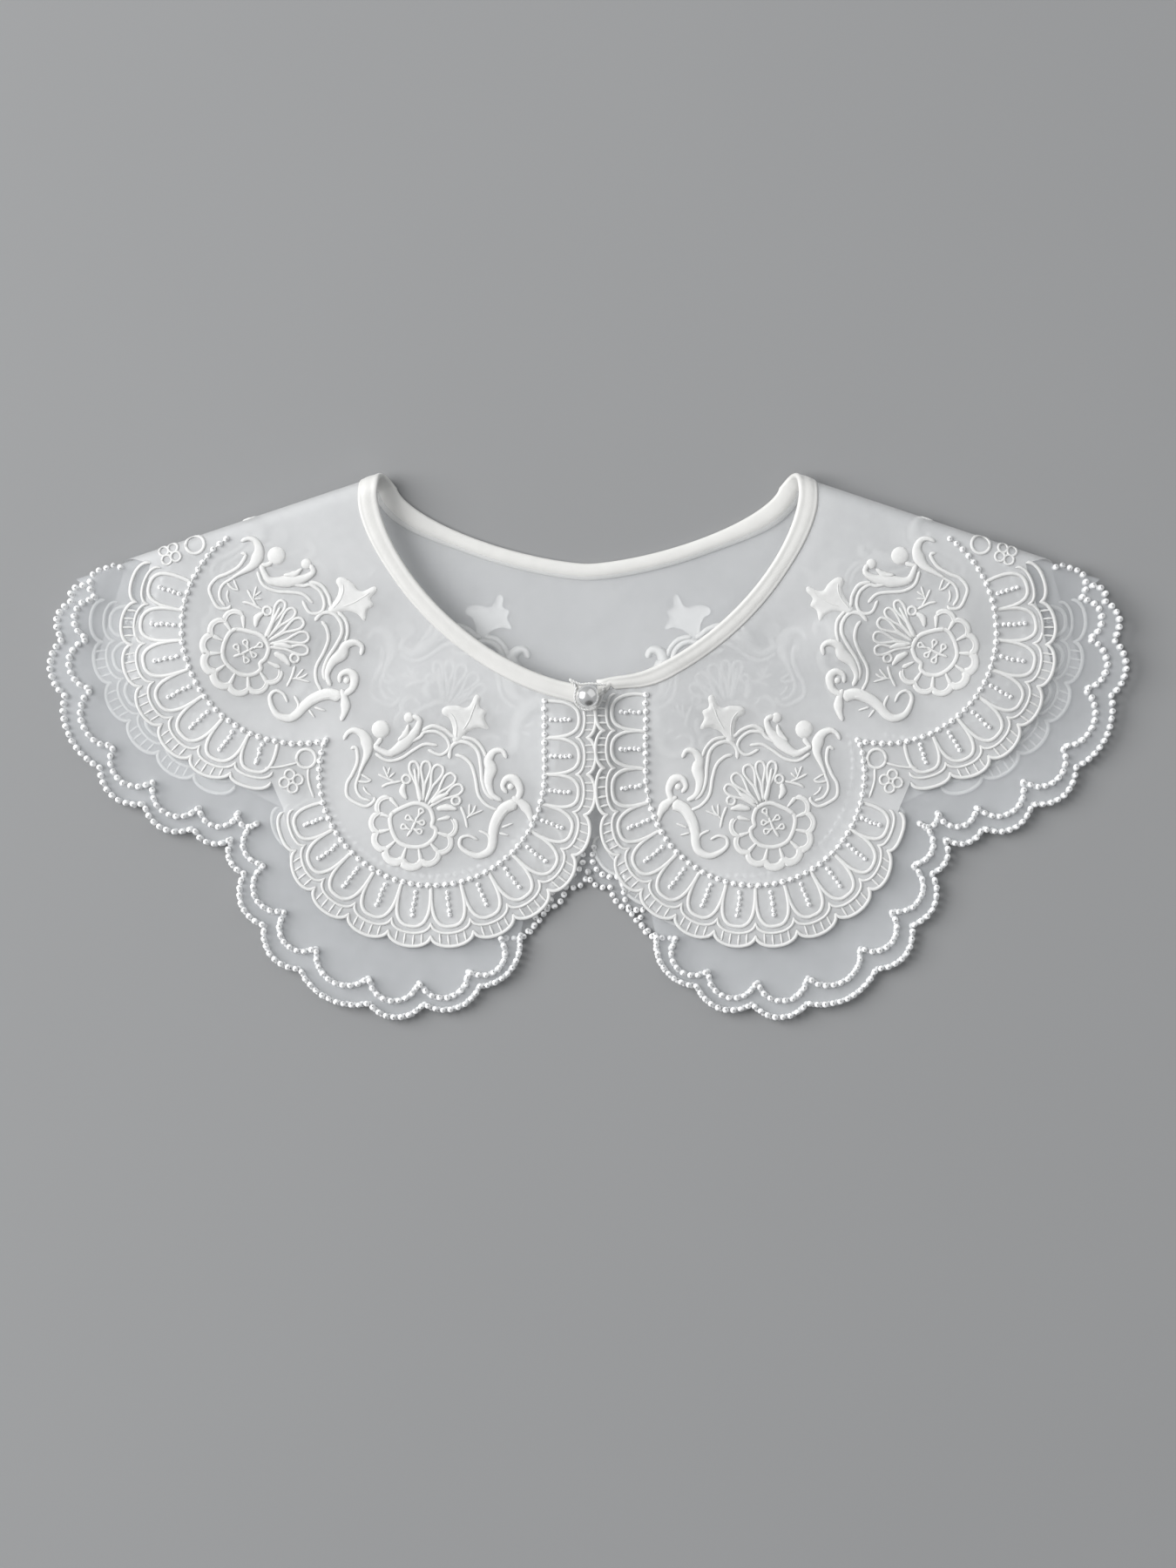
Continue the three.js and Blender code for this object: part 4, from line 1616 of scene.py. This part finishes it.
@dataclass(frozen=True)
class SatinBinding:
    """The flat bias strip round the neck, with a soft groove along each edge and a rolled right end."""

    left_end: float = 1.0
    right_end: float = 3.2
    steps: int = 90
    fold_steps: int = 16
    middle_height: float = 1.2
    # Section of the band: distance from the neck edge, and height
    profile: tuple[Pair, ...] = (
        (0.0, 1.2), (0.08, 1.75), (0.4, 2.12), (0.95, 2.3), (1.5, 2.27), (1.95, 2.2), (2.4, 2.22), (3.1, 2.3),
        (3.9, 2.33), (4.6, 2.26), (5.05, 2.14), (5.35, 2.1), (5.65, 2.12), (5.95, 2.05), (6.25, 1.8), (6.4, 1.3),
        (6.2, 0.6), (3.2, 0.35), (0.8, 0.35), (0.15, 0.7),
    )

    def section(self, scale: Array) -> tuple[Array, Array]:
        """Distances from the neck edge and heights, for each step along the band."""
        aside, level = np.array(self.profile).T
        return aside * scale[:, None], np.repeat(level[None], len(scale), 0)

    def front(self, end: float, side: Side) -> Array:
        """Rings of the band from its front end to the fold.

        Args:
            end: how far from the middle it ends.
            side: which half of the collar.

        Returns:
            Points in metres, shape (steps, section, 3).
        """
        share = np.linspace(end / FRONT_NECK.length, 1, self.steps)
        run = share * FRONT_NECK.length - end
        swell = 1 + 0.16 * smooth(share, 0.72, 0.97)
        if side is Side.LEFT_HALF:
            roll = np.zeros(len(share))
            swell = swell + 0.2 * (1 - smooth(run + end, 0, 7))
        else:
            roll = 1 - smooth(run, 5, 24)
            pinch = 0.3 * np.exp(-(((run - 4.6) / 0.8) ** 2))
            swell = swell - 0.24 * roll - pinch + 0.1 * np.exp(-(((run - 2) / 1.8) ** 2))
        aside, level = self.section(swell)
        thickness = (0.45 + 0.55 * smooth(run, -0.6, 1.6)) * (1 + 0.5 * roll)
        level = self.middle_height + (level - self.middle_height) * thickness[:, None]
        places = FRONT_NECK.at(share[:, None], aside - 1.7 * roll[:, None] ** 2)
        return PLAN.seat(places, level, Panel.FRONT, side)

    def fold(self, side: Side) -> Array:
        """Rings of the band where it turns round the shoulder fold.

        Args:
            side: which half of the collar.

        Returns:
            Points in metres, shape (steps, section, 3).
        """
        rings = []
        for part in np.arange(1, self.fold_steps) / self.fold_steps:
            aside, level = self.section(np.array([1.16 + 0.18 * part]))
            along = aside[0] - part * PLAN.neck_turn
            rings.append(PLAN.round_fold(along, part * math.pi, level[0], side))
        return np.array(rings)

    def back(self, side: Side) -> Array:
        """Rings of the band from the fold to the middle of the back."""
        share = np.linspace(1, 0, self.steps)
        aside, level = self.section(0.94 + 0.4 * smooth(share, 0.55, 1))
        return PLAN.seat(BACK_NECK.at(share[:, None], aside), level, Panel.BACK, side)

    def build(self, material: Material) -> Piece:
        """Makes the binding, which replaces the CAD band.

        Args:
            material: its finish.

        Returns:
            The piece.
        """
        right, left = (
            np.concatenate([self.front(end, side), self.fold(side), self.back(side)])
            for end, side in ((self.right_end, Side.RIGHT_HALF), (-self.left_end, Side.LEFT_HALF))
        )
        strip = np.concatenate([right, left[-2::-1]])
        first, last = (np.repeat(ring.mean(1, keepdims=True), strip.shape[1], 1) for ring in (strip[:1], strip[-1:]))
        strip = np.concatenate([first, strip, last])
        maker = MeshMaker()
        maker.grid(strip, stitch_uv(reaches(strip[:, 3]) / MM, np.array(self.profile)[:, 0]), close_across=True)
        return maker.build("bias_binding", material, "satin", "neck_binding")


@dataclass(frozen=True)
class PearlButton:
    """The round pearl button on its short shank."""

    centre: Pair = (-0.1, -73.7)
    radius: float = 4.2
    height: float = 6.6
    shank_radii: Pair = (1.25, 1.15)
    sides: int = 48
    rings: int = 28

    def build(self, material: Material) -> Piece:
        """Turns the button's profile, as high as the CAD button stands.

        Args:
            material: its finish.

        Returns:
            The piece.
        """
        low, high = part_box("pearl_button")
        foot, half = low[2] / MM, self.height / 2
        middle = high[2] / MM - half
        polar = np.linspace(0.01, math.pi - 0.38, self.rings)
        profile = [(self.radius * math.sin(a), middle + half * math.cos(a)) for a in polar]
        profile += [(self.shank_radii[0], middle - half - 0.1), (self.shank_radii[1], foot), (0.05, foot)]
        radii, heights = np.array(profile).T
        centre = np.array([self.centre[0], self.centre[1] + PLAN.centre_shift])
        flat = centre + radii[:, None, None] * circle(self.sides)
        points = np.concatenate([flat, np.repeat(heights[:, None, None], self.sides, 1)], -1)
        maker = MeshMaker()
        maker.grid(points * MM, flat, close_across=True)
        return maker.build("round_pearl", material, "pearl", "pearl_button")


@dataclass(frozen=True)
class ThreadLoop:
    """The thin two-ply thread loop that holds the button, with its pointed end past the pearl."""

    thickness: float = 0.95
    twist_pitch: float = 2.4
    ply_reach: float = 0.22
    ply_radius: float = 0.29
    path: tuple[Pair, ...] = (
        (6.4, 4.4), (4.0, 4.5), (0.6, 4.75), (-2.4, 4.5), (-4.6, 5.3), (-6.3, 6.2), (-6.1, 5.6), (-4.9, 4.4),
        (-4.3, 3.0), (-4.7, 0.4), (-4.3, -2.4), (-2.2, -4.4), (0.6, -4.8), (3.2, -3.9), (4.7, -1.4), (5.2, 1.4),
        (5.9, 3.4),
    )

    def build(self, centre: Pair, material: Material) -> Piece:
        """Twists two plies along the path, at the height of the CAD loop.

        Args:
            centre: the button's centre.
            material: its finish.

        Returns:
            The piece.
        """
        low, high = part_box("button_loop")
        points = curved(self.path, 0.22) + np.array([centre[0], centre[1] + PLAN.centre_shift])
        along = reaches(points)
        level = np.full((len(points), 1), (low[2] + high[2]) / 2 / MM)
        spine = np.concatenate([points, level], -1)
        aside = np.concatenate([left_of(unit(np.gradient(points, axis=0))), np.zeros((len(points), 1))], -1)
        up = np.array([0.0, 0.0, 1.0])
        maker = MeshMaker()
        for ply in (0.0, math.pi):
            twist = ray(along / self.twist_pitch * 2 * math.pi + ply) * self.thickness * self.ply_reach
            centre_line = spine + aside * twist[:, :1] + up * twist[:, 1:]
            ring = aside[:, None] * circle(8)[:, :1] + up * circle(8)[:, 1:]
            tube = centre_line[:, None] + ring * self.thickness * self.ply_radius
            maker.grid(tube * MM, stitch_uv(along, circle(8)[:, 1]), close_across=True)
        return maker.build("thread_loop", material, "loop_cord", "button_loop")


# Studio


@dataclass(frozen=True)
class Studio:
    """Plain floor, soft light from the left and the camera straight above."""

    camera_height: float = 2.0
    frame_length: float = 0.569
    aim_y: float = -0.0143
    sensor: float = 36.0
    world_strength: float = 0.38
    key_place: Place = (-2.2, 0.6, 1.85)
    key_power: float = 111.0
    key_size: float = 2.1
    fill_place: Place = (1.1, 1.0, 1.5)
    fill_power: float = 7.0
    fill_size: float = 2.4
    floor_size: float = 6.0
    surround: Colour = (0.96, 0.98, 1.0)
    dark: Colour = (0.1, 0.1, 0.1)
    dark_side: Place = (0.17, -0.86, 0.48)
    dark_edge: Pair = (0.8, 0.95)

    def floor(self) -> None:
        """Lays the floor, which is not part of the object."""
        half = self.floor_size / 2
        mesh = bpy.data.meshes.new("floor")
        mesh.from_pydata([(-half, -half, 0), (half, -half, 0), (half, half, 0), (-half, half, 0)], [], [(0, 1, 2, 3)])
        mesh.materials.append(FloorFinish().make())
        link("floor", mesh)

    def lamp(self, name: str, place: Place, power: float, size: float) -> None:
        """Hangs one soft square light aimed at the collar.

        Args:
            name: the light's name.
            place: where it hangs, in metres.
            power: in watts.
            size: its side in metres.
        """
        data = bpy.data.lights.new(name, "AREA")
        data.energy, data.size = power, size
        lamp = link(name, data)
        lamp.location = place
        lamp.rotation_euler = (-Vector(place)).to_track_quat("-Z", "Y").to_euler()

    def camera(self) -> None:
        """Sets the camera, with its long side up the picture."""
        data = bpy.data.cameras.new("camera")
        data.sensor_fit = "VERTICAL"
        data.sensor_height = self.sensor
        data.lens = self.sensor * self.camera_height / self.frame_length
        data.clip_end = 20
        camera = link("camera", data)
        camera.location = (0, self.aim_y, self.camera_height)
        bpy.context.scene.camera = camera

    def surroundings(self) -> bpy.types.World:
        """Makes an even cool surround with one darker side, which gives the pearl its shade.

        Returns:
            The world.
        """
        writer = Shader("studio", world=True)
        way = writer.node("ShaderNodeTexCoord", output="Generated")
        facing = writer.node("ShaderNodeVectorMath", {"operation": "DOT_PRODUCT"}, {0: way, 1: self.dark_side}, "Value")
        inputs = {"Value": facing, "From Min": self.dark_edge[0], "From Max": self.dark_edge[1]}
        share = writer.node("ShaderNodeMapRange", {"interpolation_type": "SMOOTHSTEP"}, inputs)
        writer.set(Color=writer.blend(share, self.surround, self.dark), Strength=self.world_strength)
        return writer.material

    def build(self) -> None:
        """Sets floor, camera, lights and surroundings."""
        self.floor()
        self.camera()
        self.lamp("key", self.key_place, self.key_power, self.key_size)
        self.lamp("fill", self.fill_place, self.fill_power, self.fill_size)
        scene = bpy.context.scene
        scene.world = self.surroundings()
        scene.view_settings.view_transform = "Standard"
        scene.view_settings.look = "None"


# The whole collar

LOWER_LEVEL = 0.5
UPPER_LEVEL = 1.45
# Each motif's place on one half in millimetres, and its lean in degrees
MOTIF_PLACES = {
    Panel.FRONT: (((64.9, -120.1), 26.4), ((124.6, -57.4), 64.4)),
    Panel.BACK: (((54.5, -83.7), 26.4), ((124.0, -50.0), 64.0)),
}


@dataclass(frozen=True)
class Collar:
    """All pieces of the collar."""

    lower: OrganzaLayer = OrganzaLayer(
        name="lower_organza", replaced="lower_layer", level=LOWER_LEVEL, skewed=False,
        hems={panel: hem_line(panel) for panel in Panel}, fold_ends=(PLAN.cloth_fold_end, PLAN.cloth_fold_end),
        neck_start=6.0, flat=(0.38, 0.37), cut_area=0.098, fold_sag=1.8, settled=1.35,
    )
    upper: OrganzaLayer = OrganzaLayer(
        name="upper_organza", replaced="upper_layer", level=UPPER_LEVEL, skewed=True,
        hems={panel: lobe_hem(panel) for panel in Panel}, fold_ends=PLAN.upper_fold_ends,
        neck_start=3.2, flat=(0.35, 0.32), cut_area=0.08, fold_sag=2.4,
    )
    front_overlap: float = 0.9
    front_slide: float = 2.6

    def embroidery(self, thread: Material) -> tuple[list[Piece], list[Piece]]:
        """Makes everything that is sewn on the organza.

        Args:
            thread: the embroidery's finish.

        Returns:
            The pieces on the lower and on the upper layer.
        """
        beads = BeadFinish().make()
        edging, motifs, lines, hem = (MeshMaker() for _ in range(4))
        for panel in Panel:
            for side in Side:
                on_top = side is Side.RIGHT_HALF and panel is Panel.FRONT
                upper = Ground(panel, side, UPPER_LEVEL, True, self.front_overlap * on_top, self.front_slide * on_top)
                ArchEdging().build(edging, upper)
                BeadLines().build(lines, edging, upper)
                HemBeads().build(hem, Ground(panel, side, LOWER_LEVEL))
                for centre, degrees in MOTIF_PLACES[panel]:
                    ScrollMotif().build(motifs, upper, centre, math.radians(degrees))
        on_upper = [
            maker.build(name, finish, "organza")
            for maker, name, finish in (
                (edging, "arch_edging", thread), (motifs, "scroll_embroidery", thread), (lines, "bead_lines", beads)
            )
        ]
        return [hem.build("hem_beads", beads, "organza")], on_upper

    def build(self) -> None:
        """Makes every piece of the collar."""
        lower = self.lower.build(OrganzaFinish("cool_organza", (0.87, 0.89, 0.91), (0.80, 0.825, 0.85), 0.25).make())
        upper = self.upper.build(OrganzaFinish("milky_organza", (0.93, 0.93, 0.93), (0.86, 0.865, 0.87), 0.42).make())
        thread = ThreadFinish().make()
        on_lower, on_upper = self.embroidery(thread)
        for layer, piece, extras in ((self.lower, lower, on_lower), (self.upper, upper, on_upper)):
            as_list(extras)
        SatinBinding().build(SatinFinish().make())
        button = PearlButton()
        button.build(PearlFinish().make())
        ThreadLoop().build(button.centre, thread)


def main() -> None:
    """Builds the studio and the collar."""
    logging.basicConfig(level=logging.INFO, format="%(name)s: %(message)s")
    Studio().build()
    Collar().build()


if __name__ == "__main__":
    main()
